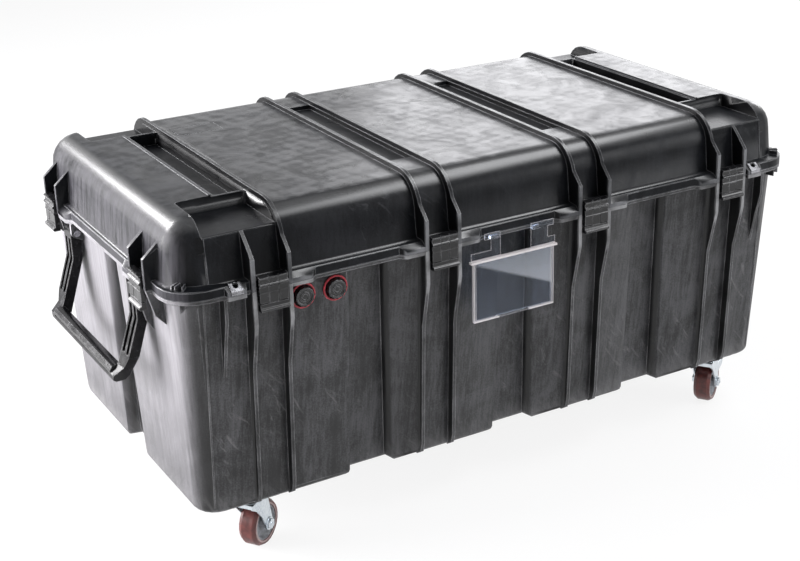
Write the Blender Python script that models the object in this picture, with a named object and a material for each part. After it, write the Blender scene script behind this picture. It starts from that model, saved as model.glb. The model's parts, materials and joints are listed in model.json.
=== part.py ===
"""A pallet-size hard case on four swivel casters, closed, standing on the floor.

Metres, +Z up, the origin on the floor under the middle of the case. +X runs along the
length and the front, with its four latches, faces -Y. Each sub-part is one object.
"""

import math

import bmesh
import bpy
from mathutils import Matrix, Vector

# The case as a whole
caster_height = 0.105
base_height = 0.386
lid_height = 0.1105
rim_length = 1.220
rim_width = 0.646
rim_corner = 0.058
fit_gap = 0.0003

# The rim where lid and base meet
base_rim_depth = 0.0067
lid_rim_depth = 0.015
rim_slope = 0.0012
rim_bevel = 0.0015
rim_band = 0.024
opening_corner = 0.036
tongue_inset = 0.013
tongue_width = 0.004
tongue_height = 0.0027
groove_side_clearance = 0.0018
seal_thickness = 0.0033

# The walls of the base
base_wall_inset_side = 0.0185
base_wall_inset_end = 0.0165
base_corner = 0.040
wall_draft = 0.017
floor_thickness = 0.013
bottom_round = 0.0105
channel_depth = 0.022
channel_shift = (0.0284, 0.0090, 0.0104)
side_channel_top = 0.036
side_channel_bottom = 0.041
end_channel_top = 0.030
end_channel_bottom = 0.045
channel_slope = 0.005

# The walls and the top of the lid
lid_wall_inset_side = 0.018
lid_wall_inset_end = 0.010
lid_corner = 0.055
lid_draft_side = 0.0066
lid_draft_end = 0.0043
lid_edge_radius = 0.048
lid_skin = 0.006
cavity_ceiling_depth = 0.043
end_block_rise = 0.0025
slot_from_rib = 0.006
slot_width = 0.0497
slot_half_span = 0.186
slot_depth = 0.022
slot_corner = 0.006
slot_step_depth = 0.0115
slot_ledge = 0.0058
rail_width = 0.0042
rail_rise = 0.0040
rail_half_span = 0.192
pocket_depth = 0.022
pocket_end_wall = 0.0645
pocket_inner_wall = 0.190
strap_channel_depth = 0.0085
strap_channel_half_span = 0.190
panel_line_width = 0.0016
panel_line_depth = 0.0012
panel_place = (-0.360, 0.164)
panel_half_size = (0.042, 0.024)

# The ribs, in pairs that hold the latches in front and the hinges behind
rib_thickness = 0.006
pair_half_pitch = 0.0302
outer_pair = 0.4525
inner_pair = 0.1502
end_pair = 0.206
rib_reach = 0.010
lid_knee_height = 0.051
lid_slant_height = 0.073
lid_slant_back = 0.0213
rib_over_deck = 0.0085
rib_arc_radius = 0.063
base_knee_drop = 0.057
base_taper_drop = 0.138
base_rib_proud = 0.0155
end_gusset_drop = (0.044, 0.075)
corner_gusset_inset = (0.0840, 0.0735)
corner_gusset_thickness = 0.005
corner_gusset_drop = 0.145
corner_seam_inset = 0.0555
seam_proud = 0.0012
seam_thickness = 0.0024
rim_block_out = 0.0092
rim_block_face = 0.0075
rim_block_length = 0.034
rim_block_taper = 0.016

# The latches, in a frame where the pivot is the origin
latch_width = 0.048
latch_pivot_out = 0.0035
latch_pivot_up = 0.017
latch_eye_radius = 0.006
latch_trunnion_radius = 0.003
latch_trunnion_reach = 0.0015
latch_drop = 0.051
latch_front = 0.0135
latch_face = 0.011
latch_back = 0.002
latch_top = 0.0055
latch_panel_drop = 0.037
latch_window_drop = 0.0207
latch_seam_depth = 0.0015
tongue_half_width = 0.0075
tongue_side_gap = 0.0008
tongue_pivot_out = 0.008
tongue_pivot_drop = 0.027
tongue_foot_gap = 0.0015
tongue_trunnion_radius = 0.0022
tongue_trunnion_reach = 0.0030
tongue_lip_out = 0.0155
tongue_top_chamfer = 0.0008
keeper_out = 0.0040
keeper_depth = 0.0155
latch_relief = 0.0040

# The hinges at the back
hinge_out = 0.011
hinge_radius = 0.008
hinge_pin_radius = 0.003
hinge_half_span = 0.0262
hinge_lid_half = 0.0130
hinge_play = 0.0005

# The bail handles at the ends
handle_pivot_in = 0.0055
handle_pivot_drop = 0.025
handle_arm_place = 0.154
handle_arm_width = 0.036
handle_eye_radius = 0.009
handle_pin_radius = 0.004
handle_pin_head = 0.0062
handle_straight = 0.048
handle_drop = 0.155
handle_groove_width = 0.010
handle_groove_offset = 0.0083
handle_groove_depth = 0.007
lug_thickness = 0.006
lug_gap = 0.0006

# The pressure valves on the front
valve_from_pair = (0.0575, 0.1135)
valve_drop = 0.032
valve_radius = 0.0175
valve_depth = 0.0100
valve_flute = 0.0018
valve_flutes = 12
valve_stem_radius = 0.0080
valve_ring_radius = 0.0197
valve_ring_thickness = 0.0018
valve_boss_radius = 0.0222
valve_pad_out = 0.0090

# The padlock points beside the outer ribs
padlock_from_pair = 0.057
padlock_hole_radius = 0.0050
padlock_hole_out = 0.0010
padlock_block_half = 0.0150
padlock_block_out = 0.0085
padlock_block_face = 0.0072
padlock_plate_half = 0.0100
padlock_plate_back = 0.0090
padlock_plate_low = 0.0015
padlock_sheet = 0.0015

# The clear document holder
holder_from_pairs = (0.0537, 0.0877)
holder_top_drop = 0.0375
holder_depth = 0.1085
holder_out = 0.0075
holder_sheet = 0.002
holder_slot = 0.002
holder_side = 0.004
holder_flange_side = 0.0057
holder_flange_depth = 0.0035
holder_flange_out = 0.0020
holder_strip_rise = 0.0130
holder_tab_rise = 0.0055
holder_hook_drop = 0.0050

# The casters
kingpin_inset = (0.128, 0.073)
caster_trail = 0.025
caster_heading = math.radians(35.0)
wheel_radius = 0.040
wheel_width = 0.032
tread_depth = 0.0097
hub_width = 0.0356
axle_radius = 0.004
axle_head_radius = 0.0070
leg_gap = 0.0185
leg_thickness = 0.0025
crown_drop = 0.0068
crown_thickness = 0.0035
crown_radius = 0.024
plate_half_size = (0.045, 0.032)
plate_thickness = 0.0047
plate_recess = 0.006
race_radius = 0.021
kingpin_radius = 0.005
brake_pivot = (0.035, 0.027)
brake_trunnion_radius = 0.003
brake_eye_radius = 0.0036
brake_lobe = (0.003, -0.006)
pedal_reach = 0.033
pedal_half_width = 0.0165

# Derived heights and half sizes
underside = caster_height
parting = underside + base_height
deck = parting + lid_height
half_rim = (rim_length / 2, rim_width / 2)
slot_inner = outer_pair - pair_half_pitch + slot_from_rib
slot_outer = slot_inner + slot_width
pocket_outer = half_rim[0] - pocket_end_wall
valve_places = tuple(shift - outer_pair for shift in valve_from_pair)
padlock_place = outer_pair + padlock_from_pair
holder_left = holder_from_pairs[0] - inner_pair
holder_right = inner_pair - holder_from_pairs[1]
kingpin_place = (half_rim[0] - kingpin_inset[0], half_rim[1] - kingpin_inset[1])
front, left, back, right = 0.0, -math.pi / 2, math.pi, math.pi / 2
rib_half = rib_thickness / 2
pair_half_gap = pair_half_pitch - rib_half
corner_steps = 5
round_steps = 20
trim_step = 0.001


def clear_scene():
    for thing in list(bpy.data.objects):
        bpy.data.objects.remove(thing, do_unlink=True)


def make_material(name, colour, roughness, metallic=0.0, transmission=0.0):
    material = bpy.data.materials.new(name)
    material.use_nodes = True
    shader = material.node_tree.nodes["Principled BSDF"]
    shader.inputs["Base Color"].default_value = (*colour, 1.0)
    shader.inputs["Roughness"].default_value = roughness
    shader.inputs["Metallic"].default_value = metallic
    shader.inputs["Transmission Weight"].default_value = transmission
    material.diffuse_color = (*colour, 1.0)
    return material


def side_reach(side):
    """How far the rim lies from the middle of the case on this side."""
    return half_rim[1] if side in (front, back) else half_rim[0]


def arc(centre, radius, start, end, steps):
    """Points on an arc, in degrees, both ends included."""
    points = []
    for step in range(steps + 1):
        angle = math.radians(start + (end - start) * step / steps)
        points.append((centre[0] + radius * math.cos(angle), centre[1] + radius * math.sin(angle)))
    return points


def loft(mesh, loops):
    """A closed body through loops with the same number of points, flat at both ends."""
    rings = [[mesh.verts.new(point) for point in loop] for loop in loops]
    for low, high in zip(rings, rings[1:]):
        count = len(low)
        for i in range(count):
            j = (i + 1) % count
            mesh.faces.new((low[i], low[j], high[j], high[i]))
    mesh.faces.new(reversed(rings[0]))
    mesh.faces.new(rings[-1])


def prism(mesh, outline, low, high, side=front):
    """An outline of (distance outward, height) drawn along a side, from low to high."""
    turn = Matrix.Rotation(side, 3, "Z")
    loops = []
    for along in (low, high):
        loops.append([turn @ Vector((along, -out, height)) for out, height in outline])
    loft(mesh, loops)


def slab(mesh, outline, low, high):
    """A plan outline of (x, y) drawn up from low to high."""
    loft(mesh, [[(x, y, height) for x, y in outline] for height in (low, high)])


def box(mesh, low, high):
    outline = [(low[0], low[1]), (high[0], low[1]), (high[0], high[1]), (low[0], high[1])]
    slab(mesh, outline, low[2], high[2])


def rod(mesh, start, end, radius, steps=round_steps):
    """A round bar between two points."""
    start = Vector(start)
    end = Vector(end)
    turn = Vector((0, 0, 1)).rotation_difference(end - start).to_matrix()
    circle = [turn @ Vector((x, y, 0)) for x, y in arc((0, 0), radius, 0, 360, steps)[:-1]]
    loft(mesh, [[start + point for point in circle], [end + point for point in circle]])


def turned(mesh, profile, centre, axis, steps=round_steps):
    """A closed profile of (radius, distance along the axis) turned round the axis."""
    centre = Vector(centre)
    turn = Vector((0, 0, 1)).rotation_difference(Vector(axis)).to_matrix()
    rings = []
    for radius, along in profile:
        ring = []
        for x, y in arc((0, 0), 1.0, 0, 360, steps)[:-1]:
            ring.append(mesh.verts.new(centre + turn @ Vector((x * radius, y * radius, along))))
        rings.append(ring)
    for low, high in zip(rings, rings[1:] + rings[:1]):
        for i in range(steps):
            j = (i + 1) % steps
            mesh.faces.new((low[i], low[j], high[j], high[i]))


def rounded(half_length, half_width, radius, steps=corner_steps):
    """The plan outline of a rectangle with round corners."""
    points = []
    for quarter, (along, across) in enumerate(((1, 1), (-1, 1), (-1, -1), (1, -1))):
        centre = (along * (half_length - radius), across * (half_width - radius))
        points += arc(centre, radius, 90 * quarter, 90 * quarter + 90, steps)
    return points


def rim_loop(inset, height):
    outline = rounded(half_rim[0] - inset, half_rim[1] - inset, rim_corner - inset)
    return [(x, y, height) for x, y in outline]


def ring(mesh, outer_inset, inner_inset, low, high):
    """A band that runs all round, between two insets from the edge of the rim."""
    loops = [rim_loop(outer_inset, low), rim_loop(outer_inset, high)]
    loops += [rim_loop(inner_inset, high), rim_loop(inner_inset, low)]
    rings = [[mesh.verts.new(point) for point in loop] for loop in loops]
    for one, two in zip(rings, rings[1:] + rings[:1]):
        count = len(one)
        for i in range(count):
            j = (i + 1) % count
            mesh.faces.new((one[i], one[j], two[j], two[i]))


def side_channel_places():
    """The middles of the three channels in a long wall, from its left end."""
    bay = (outer_pair + inner_pair) / 2
    return channel_shift[0] - bay, channel_shift[1], bay - channel_shift[2]


def notch(centre, mouth, floor_half):
    """The four points of a channel in a wall, as (distance along, depth)."""
    return [
        (centre - mouth, 0.0),
        (centre - floor_half, channel_depth),
        (centre + floor_half, channel_depth),
        (centre + mouth, 0.0),
    ]


def channelled(half_length, half_width, radius, side_mouth, end_mouth):
    """The plan outline of the base: round corners and a channel in each stretch of wall."""
    points = []
    sides = ((0, 1), (-1, 0), (0, -1), (1, 0))
    for quarter, (out_x, out_y) in enumerate(sides):
        corner = (1 if quarter in (0, 3) else -1, 1 if quarter in (0, 1) else -1)
        centre = (corner[0] * (half_length - radius), corner[1] * (half_width - radius))
        points += arc(centre, radius, 90 * quarter, 90 * quarter + 90, corner_steps)
        travel = (-out_y, out_x)
        long_side = out_y != 0
        reach = half_width if long_side else half_length
        places = side_channel_places() if long_side else (0.0,)
        mouth = side_mouth if long_side else end_mouth
        for place in places:
            for along, depth in notch(place, mouth, mouth - channel_slope):
                out = reach - depth
                points.append((travel[0] * along + out_x * out, travel[1] * along + out_y * out))
    return points


def base_wall(height, inset):
    """The outline of the base's wall at this height, moved inward by inset."""
    share = (parting - height) / base_height
    lean = wall_draft * share
    side_mouth = side_channel_top + (side_channel_bottom - side_channel_top) * share
    end_mouth = end_channel_top + (end_channel_bottom - end_channel_top) * share
    outline = channelled(
        half_rim[0] - base_wall_inset_end - lean - inset,
        half_rim[1] - base_wall_inset_side - lean - inset,
        base_corner - inset,
        side_mouth + inset,
        end_mouth + inset,
    )
    return [(x, y, height) for x, y in outline]


def lid_wall(height, inset):
    """The outline of the lid's wall: it leans in, then rounds over into the deck."""
    edge_start = deck - lid_edge_radius
    share = min(1.0, (height - parting) / (edge_start - parting))
    rise = max(0.0, height - edge_start)
    curve = lid_edge_radius - math.sqrt(max(0.0, lid_edge_radius**2 - rise**2))
    shrink = inset + curve
    outline = rounded(
        half_rim[0] - lid_wall_inset_end - lid_draft_end * share - shrink,
        half_rim[1] - lid_wall_inset_side - lid_draft_side * share - shrink,
        max(0.002, lid_corner - 0.005 * share - shrink),
    )
    return [(x, y, height) for x, y in outline]


def above_rim(order):
    """Where a part of the base ends before the rim is trimmed flat: never two in one plane."""
    return parting + trim_step * order


def below_rim(order):
    """Where a part of the lid starts before its rim is trimmed flat."""
    return parting - trim_step * order


def tidy(mesh):
    bmesh.ops.recalc_face_normals(mesh, faces=mesh.faces)


def new_object(name, mesh, material=None, place=(0, 0, 0), turn=0.0, smooth=30.0):
    """Turns a bmesh into an object and sets its material and place."""
    tidy(mesh)
    data = bpy.data.meshes.new(name)
    mesh.to_mesh(data)
    mesh.free()
    thing = bpy.data.objects.new(name, data)
    bpy.context.scene.collection.objects.link(thing)
    thing.location = place
    thing.rotation_euler = (0, 0, turn)
    if material:
        data.materials.append(material)
    shade(data, smooth)
    return thing


def shade(data, angle):
    data.shade_smooth()
    data.set_sharp_from_angle(angle=math.radians(angle))


def combine(thing, tool, operation):
    """Adds a tool to a thing or cuts it away, and keeps the result as the thing's mesh."""
    modifier = thing.modifiers.new("shape", "BOOLEAN")
    modifier.solver = "EXACT"
    modifier.operation = operation
    modifier.object = tool
    bpy.context.view_layer.update()
    shaped = thing.evaluated_get(bpy.context.evaluated_depsgraph_get())
    result = bpy.data.meshes.new_from_object(shaped)
    thing.modifiers.remove(modifier)
    old = thing.data
    thing.data = result
    result.name = thing.name
    bpy.data.meshes.remove(old)
    bpy.data.objects.remove(tool, do_unlink=True)
    shade(result, 30.0)
    return thing


def drawn(build):
    mesh = bmesh.new()
    build(mesh)
    return new_object("tool", mesh)


def union(thing, build):
    return combine(thing, drawn(build), "UNION")


def cut(thing, build):
    return combine(thing, drawn(build), "DIFFERENCE")


def copy_of(thing, name, place, turn):
    twin = bpy.data.objects.new(name, thing.data)
    bpy.context.scene.collection.objects.link(twin)
    twin.location = place
    twin.rotation_euler = (0, 0, turn)
    return twin


def pair_places():
    """Every rib pair, as (side, distance along that side)."""
    places = []
    for side in (front, back):
        for place in (-outer_pair, -inner_pair, inner_pair, outer_pair):
            places.append((side, place))
    for side in (left, right):
        for place in (-end_pair, end_pair):
            places.append((side, place))
    return places


def latch_places():
    return [(side, place) for side, place in pair_places() if side != back]


def on_side(side, along, out, height):
    """The point at this distance along a side and out from its rim edge."""
    return Matrix.Rotation(side, 3, "Z") @ Vector((along, -(side_reach(side) + out), height))


# Base


def base_block(mesh):
    """The outside of the base below the rim, with its rounded bottom edge."""
    loops = []
    for step in range(4):
        angle = math.radians(30 * step)
        height = underside + bottom_round * (1 - math.cos(angle))
        loops.append(base_wall(height, bottom_round * (1 - math.sin(angle))))
    loops.append(base_wall(parting - 2 * rim_bevel, 0.0))
    loft(mesh, loops)


def base_rim(mesh):
    bottom = parting - fit_gap - base_rim_depth
    loft(mesh, [
        rim_loop(rim_bevel, bottom),
        rim_loop(0.0, bottom + rim_bevel),
        rim_loop(0.0, above_rim(1)),
    ])


def base_rim_waste(mesh):
    box(mesh, (-rim_length, -rim_width, parting - fit_gap), (rim_length, rim_width, deck))


def base_rib_outline():
    """A front or back rib: straight past the latch, tapered, then hooked under the edge."""
    reach = side_reach(front)
    low_wall = reach - base_wall_inset_side - wall_draft
    return [
        (reach + rib_reach, above_rim(2)),
        (reach + rib_reach, parting - base_knee_drop),
        (reach - base_wall_inset_side + 0.0095, parting - base_taper_drop),
        (low_wall + base_rib_proud, underside + 0.027),
        (low_wall + 0.0105, underside + 0.009),
        (low_wall - 0.0020, underside + 0.0007),
        (low_wall - 0.0125, underside + 0.0030),
        (low_wall - 0.0070, underside + 0.025),
        (reach - base_wall_inset_side - 0.0040, above_rim(2)),
    ]


def base_ribs(mesh):
    outline = base_rib_outline()
    for side in (front, back):
        for place in (-outer_pair, -inner_pair, inner_pair, outer_pair):
            for offset in (-pair_half_pitch, pair_half_pitch):
                centre = place + offset
                prism(mesh, outline, centre - rib_half, centre + rib_half, side)


def end_gussets(mesh):
    """The short ribs under the end latches: the inner ones also carry the handle pins."""
    reach = side_reach(left)
    wall = reach - base_wall_inset_end
    for side in (left, right):
        for sign in (-1, 1):
            for index, offset in enumerate((pair_half_pitch, -pair_half_pitch)):
                drop = end_gusset_drop[index]
                knee_out = -0.003 if index == 0 else -0.009
                outline = [
                    (reach + rib_reach, above_rim(3)),
                    (reach + knee_out, parting - drop),
                    (wall - 0.0030, parting - drop - 0.018),
                    (wall - 0.0040, above_rim(3)),
                ]
                centre = sign * (end_pair + offset)
                prism(mesh, outline, centre - rib_half, centre + rib_half, side)


def corner_gussets(mesh):
    """The ribs near each corner, which run down to a tip."""
    reach = side_reach(front)
    wall_top = reach - base_wall_inset_side
    tip = parting - corner_gusset_drop
    tip_wall = wall_top - wall_draft * corner_gusset_drop / base_height
    outline = [
        (reach - 0.0005, parting - base_rim_depth),
        (reach - 0.0005, parting - 0.045),
        (reach - 0.013, parting - 0.092),
        (tip_wall + 0.0005, tip),
        (tip_wall - 0.0035, tip + 0.001),
        (wall_top - 0.004, parting - base_rim_depth),
    ]
    half = corner_gusset_thickness / 2
    places = (corner_gusset_inset[0] - half_rim[0], half_rim[0] - corner_gusset_inset[1])
    for side in (front, back):
        for centre in places:
            prism(mesh, outline, centre - half, centre + half, side)


def corner_seams(mesh):
    """The low upright beads where the long walls turn into the corners."""
    centre = half_rim[0] - corner_seam_inset
    top = parting - base_rim_depth
    bottom = underside + bottom_round + 0.002
    outer = []
    for step in range(5):
        height = top + (bottom - top) * step / 4
        lean = wall_draft * (parting - height) / base_height
        turn_start = half_rim[0] - base_wall_inset_end - lean - base_corner
        past = max(0.0, centre - turn_start)
        curve = base_corner - math.sqrt(base_corner**2 - past**2)
        wall = side_reach(front) - base_wall_inset_side - lean - curve
        outer.append((wall + seam_proud, height))
    outline = outer + [(out - 0.005, height) for out, height in reversed(outer)]
    half = seam_thickness / 2
    for side in (front, back):
        for place in (-centre, centre):
            prism(mesh, outline, place - half, place + half, side)


def keepers(mesh):
    """The ledges of the base that the latches bear on."""
    for side, place in latch_places():
        reach = side_reach(side)
        outline = [
            (reach - 0.022, above_rim(4)),
            (reach + keeper_out, above_rim(4)),
            (reach + keeper_out, parting - keeper_depth + 0.003),
            (reach + keeper_out - 0.004, parting - keeper_depth),
            (reach - 0.022, parting - keeper_depth - 0.004),
        ]
        prism(mesh, outline, place - pair_half_gap - 0.001, place + pair_half_gap + 0.001, side)


def block_section(out, low, face, top):
    """A section of a rim block, as (distance out from the rim's edge, height)."""
    return [(-0.006, low), (out, low), (out, face), (-0.001, top), (-0.006, top)]


def rim_block(mesh, side, ends, section):
    """A block on the rim between two (place, slant) ends; each end runs out by its slant."""
    reach = side_reach(side)
    turn = Matrix.Rotation(side, 3, "Z")
    root = section[0][0]
    face = section[1][0]
    loops = []
    for place, slant in ends:
        loop = []
        for out, height in section:
            along = place + slant * (face - out) / (face - root)
            loop.append(turn @ Vector((along, -(reach + out), height)))
        loops.append(loop)
    loft(mesh, loops)


def pair_blocks(mesh, section):
    """The raised blocks on the rim beside the rib pairs."""
    for side, place, sign in block_sites():
        near = place + sign * (pair_half_pitch + rib_half - 0.001)
        far = place + sign * (pair_half_pitch + rib_half + rim_block_length)
        rim_block(mesh, side, ((near, 0.0), (far, sign * rim_block_taper)), section)


def block_sites():
    """The sides of the rib pairs that have a raised block."""
    sites = []
    for side, place in pair_places():
        for sign in (-1, 1):
            outward = sign * place > 0
            if side in (left, right) and outward:
                continue
            if side == front and outward and abs(place) == outer_pair:
                continue
            sites.append((side, place, sign))
    return sites


def base_blocks(mesh):
    low = parting - base_rim_depth + 0.0005
    pair_blocks(mesh, block_section(rim_block_out, low, above_rim(5), above_rim(5)))


def padlock_blocks(mesh, section):
    """The thick stretches of rim that the padlocks go through."""
    taper = rim_block_taper / 4
    for sign in (-1, 1):
        near = sign * padlock_place - padlock_block_half
        far = sign * padlock_place + padlock_block_half
        rim_block(mesh, front, ((near, -taper), (far, taper)), section)


def base_padlock_blocks(mesh):
    low = parting - base_rim_depth
    padlock_blocks(mesh, block_section(padlock_block_out, low, above_rim(6), above_rim(6)))


def lid_padlock_blocks(mesh):
    face = parting + padlock_block_face
    top = parting + lid_rim_depth - 0.0004
    padlock_blocks(mesh, block_section(padlock_block_out, below_rim(4), face, top))


def padlock_hole_place(sign):
    return sign * padlock_place, -(side_reach(front) + padlock_hole_out)


def padlock_holes(mesh):
    for sign in (-1, 1):
        x, y = padlock_hole_place(sign)
        rod(mesh, (x, y, parting - 0.03), (x, y, parting + 0.04), padlock_hole_radius, 14)


def handle_lugs(mesh):
    """The inner ears that carry the handle pins, beside the arms."""
    reach = side_reach(left)
    wall = reach - base_wall_inset_end
    pivot = (reach - handle_pivot_in, parting - handle_pivot_drop)
    outline = [(wall - 0.004, parting - base_rim_depth)]
    outline += [(pivot[0] + handle_eye_radius, parting - base_rim_depth)]
    outline += arc(pivot, handle_eye_radius, 0, -75, 3)
    outline += [(wall - 0.004, pivot[1] - handle_eye_radius - 0.008)]
    for side in (left, right):
        for sign in (-1, 1):
            outer = handle_arm_place - handle_arm_width / 2 - lug_gap
            ends = sorted((sign * outer, sign * (outer - lug_thickness)))
            prism(mesh, outline, ends[0], ends[1], side)


def handle_pin_holes(mesh):
    reach = side_reach(left) - handle_pivot_in
    height = parting - handle_pivot_drop
    for side in (left, right):
        turn = Matrix.Rotation(side, 3, "Z")
        for sign in (-1, 1):
            near = sign * (handle_arm_place - handle_arm_width / 2 - 0.02)
            far = sign * (end_pair - pair_half_pitch + rib_half + 0.004)
            start = turn @ Vector((near, -reach, height))
            end = turn @ Vector((far, -reach, height))
            rod(mesh, start, end, handle_pin_radius + fit_gap, 10)


def valve_pad(mesh):
    wall = side_reach(front) - base_wall_inset_side
    low = parting - valve_drop - 0.0075
    outline = [
        (wall - 0.004, parting - base_rim_depth),
        (wall + valve_pad_out, parting - base_rim_depth),
        (wall + valve_pad_out, low),
        (wall - 0.004, low - 0.004),
    ]
    near = valve_places[0] - valve_boss_radius
    far = valve_places[-1] + valve_boss_radius
    prism(mesh, outline, near, far)


def valve_bosses(mesh):
    wall = side_reach(front) - base_wall_inset_side
    for place in valve_places:
        start = (place, -(wall - 0.004), parting - valve_drop)
        end = (place, -(wall + valve_pad_out), parting - valve_drop)
        rod(mesh, start, end, valve_boss_radius - 0.0003, 24)


def valve_bores(mesh):
    wall = side_reach(front) - base_wall_inset_side
    for place in valve_places:
        start = (place, -(wall - 0.030), parting - valve_drop)
        end = (place, -(wall + 0.030), parting - valve_drop)
        rod(mesh, start, end, valve_stem_radius + fit_gap, 16)


def base_knuckles(mesh):
    reach = side_reach(back)
    centre = (reach + hinge_out, parting)
    outline = [(reach + 0.0015, parting - 0.0008), (reach - 0.010, parting - 0.0008)]
    outline += [(reach - 0.010, parting - hinge_radius - 0.004)]
    outline += arc(centre, hinge_radius, -90, 180, 6)
    for place in (-outer_pair, -inner_pair, inner_pair, outer_pair):
        for sign in (-1, 1):
            near = hinge_lid_half + hinge_play
            far = pair_half_gap - fit_gap
            ends = sorted((place + sign * near, place + sign * far))
            prism(mesh, outline, ends[0], ends[1], back)


def hinge_bores(mesh):
    centre_y = side_reach(back) + hinge_out
    for place in (-outer_pair, -inner_pair, inner_pair, outer_pair):
        start = (place - pair_half_gap, centre_y, parting)
        end = (place + pair_half_gap, centre_y, parting)
        rod(mesh, start, end, hinge_pin_radius + fit_gap, 10)


def corner_fins(mesh, angles, near, far, low, high):
    """Thin upright fins set radially round each corner of the rim."""
    half = 0.0009
    for across in (-1, 1):
        for along in (-1, 1):
            centre_x = along * (half_rim[0] - rim_corner)
            centre_y = across * (half_rim[1] - rim_corner)
            for angle in angles:
                turn = math.radians(angle)
                out = Vector((along * math.cos(turn), across * math.sin(turn)))
                side = Vector((-out.y, out.x)) * half
                middle = Vector((centre_x, centre_y))
                corners = [
                    middle + out * near - side,
                    middle + out * far - side,
                    middle + out * far + side,
                    middle + out * near + side,
                ]
                slab(mesh, [tuple(corner) for corner in corners], low, high)


def base_fins(mesh):
    low = parting - base_rim_depth - 0.013
    high = parting - base_rim_depth + 0.002
    corner_fins(mesh, (45, 72), rim_corner - 0.024, rim_corner - 0.003, low, high)


def base_cavity(mesh):
    """The inside of the base, whose walls follow the channels."""
    top = parting + 0.02
    floor = underside + floor_thickness
    inner = rim_band - base_wall_inset_side
    loft(mesh, [
        base_wall(floor, inner + 0.010),
        base_wall(floor + 0.004, inner + 0.003),
        base_wall(floor + 0.012, inner),
        base_wall(top, inner),
    ])


def caster_recesses(mesh):
    for sign_x in (-1, 1):
        for sign_y in (-1, 1):
            x, y = sign_x * kingpin_place[0], sign_y * kingpin_place[1]
            half_x = plate_half_size[0] + 0.001
            half_y = plate_half_size[1] + 0.001
            outline = [(x + px, y + py) for px, py in rounded(half_x, half_y, 0.004, 2)]
            slab(mesh, outline, underside - 0.01, underside + plate_recess)


def base_tongue(mesh):
    top = parting + tongue_height
    ring(mesh, tongue_inset, tongue_inset + tongue_width, parting - 0.004, top)


def make_base(material):
    mesh = bmesh.new()
    base_block(mesh)
    base = new_object("base_shell", mesh, material)
    union(base, base_ribs)
    union(base, end_gussets)
    union(base, corner_gussets)
    union(base, corner_seams)
    union(base, valve_pad)
    union(base, valve_bosses)
    union(base, handle_lugs)
    union(base, base_rim)
    union(base, base_blocks)
    union(base, base_padlock_blocks)
    union(base, keepers)
    cut(base, base_rim_waste)
    union(base, base_knuckles)
    union(base, base_fins)
    cut(base, base_cavity)
    union(base, base_tongue)
    cut(base, hinge_bores)
    cut(base, padlock_holes)
    cut(base, handle_pin_holes)
    cut(base, valve_bores)
    cut(base, caster_recesses)
    return base


# Lid


def lid_block(mesh, rise=0.0, inset=0.0):
    """The outside of the lid: leaning walls that round over into the flat deck."""
    edge_start = deck - lid_edge_radius
    loops = [lid_wall(below_rim(1), inset), lid_wall(edge_start, inset)]
    for step in range(1, 7):
        angle = math.radians(15 * step)
        height = edge_start + lid_edge_radius * math.sin(angle)
        loops.append(lid_wall(height, inset))
    raised = []
    for index, loop in enumerate(loops):
        lift = rise if index > 0 else 0.0
        raised.append([(x, y, z + lift) for x, y, z in loop])
    loft(mesh, raised)


def lid_rim(mesh):
    top = parting + lid_rim_depth
    loft(mesh, [
        rim_loop(0.0, below_rim(2)),
        rim_loop(0.0, top - rim_bevel),
        rim_loop(rim_bevel, top),
        rim_loop(0.020, top + rim_slope),
    ])


def lid_rim_waste(mesh):
    box(mesh, (-rim_length, -rim_width, underside), (rim_length, rim_width, parting + fit_gap))


def end_blocks(mesh):
    """The ends of the lid stand a little higher than the deck, outside the slots."""
    lid_block(mesh, end_block_rise, 0.0003)


def end_block_waste(mesh):
    """What is taken off the raised block, so that it only stands at the two ends."""
    inner = slot_outer + slot_ledge
    box(mesh, (-inner, -rim_width, 0.0), (inner, rim_width, 2 * deck))


def add_end_blocks(lid):
    ends = drawn(end_blocks)
    cut(ends, end_block_waste)
    combine(lid, ends, "UNION")


def rails(mesh):
    """The low rail along the outer side of each slot."""
    near = slot_outer + slot_ledge - 0.0002
    far = slot_outer + slot_ledge + rail_width
    for sign in (-1, 1):
        low, high = sorted((sign * near, sign * far))
        span = rail_half_span
        box(mesh, (low, -span, deck - 0.003), (high, span, deck + rail_rise))


def pocket_floors(mesh):
    """The wall stands square under each corner pocket, out to the pocket's open edge."""
    reach = side_reach(front)
    wall = reach - lid_wall_inset_side - lid_draft_side
    floor = deck - pocket_depth
    outline = [
        (wall - 0.036, floor - 0.034),
        (wall - 0.0012, floor - 0.032),
        (wall - 0.0024, floor - 0.003),
        (wall - 0.0060, floor + 0.0035),
        (wall - 0.036, floor + 0.0035),
    ]
    low = outer_pair - pair_half_pitch
    high = pocket_outer - 0.0005
    for side in (front, back):
        prism(mesh, outline, low, high, side)
        prism(mesh, outline, -high, -low, side)


def pocket_inner_end():
    return outer_pair - pair_half_pitch + rib_half + 0.0015


def pockets(mesh):
    """The four corner pockets, open to the front or back."""
    low = pocket_inner_end()
    floor = deck - pocket_depth
    centre_x = (low + pocket_outer) / 2
    half_x = (pocket_outer - low) / 2
    half_y = 0.1
    for sign_x in (-1, 1):
        for sign_y in (-1, 1):
            centre_y = pocket_inner_wall + half_y
            outline = [
                (sign_x * centre_x + x, sign_y * centre_y + y)
                for x, y in rounded(half_x, half_y, 0.008, 3)
            ]
            slab(mesh, outline, floor, deck + 0.05)


def slots(mesh):
    """The slots across the deck near each end, as deep as the pockets."""
    centre = (slot_inner + slot_outer) / 2
    for sign in (-1, 1):
        outline = rounded(slot_width / 2, slot_half_span, slot_corner, 3)
        outline = [(sign * centre + x, y) for x, y in outline]
        slab(mesh, outline, deck - slot_depth, deck + 0.05)


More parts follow.
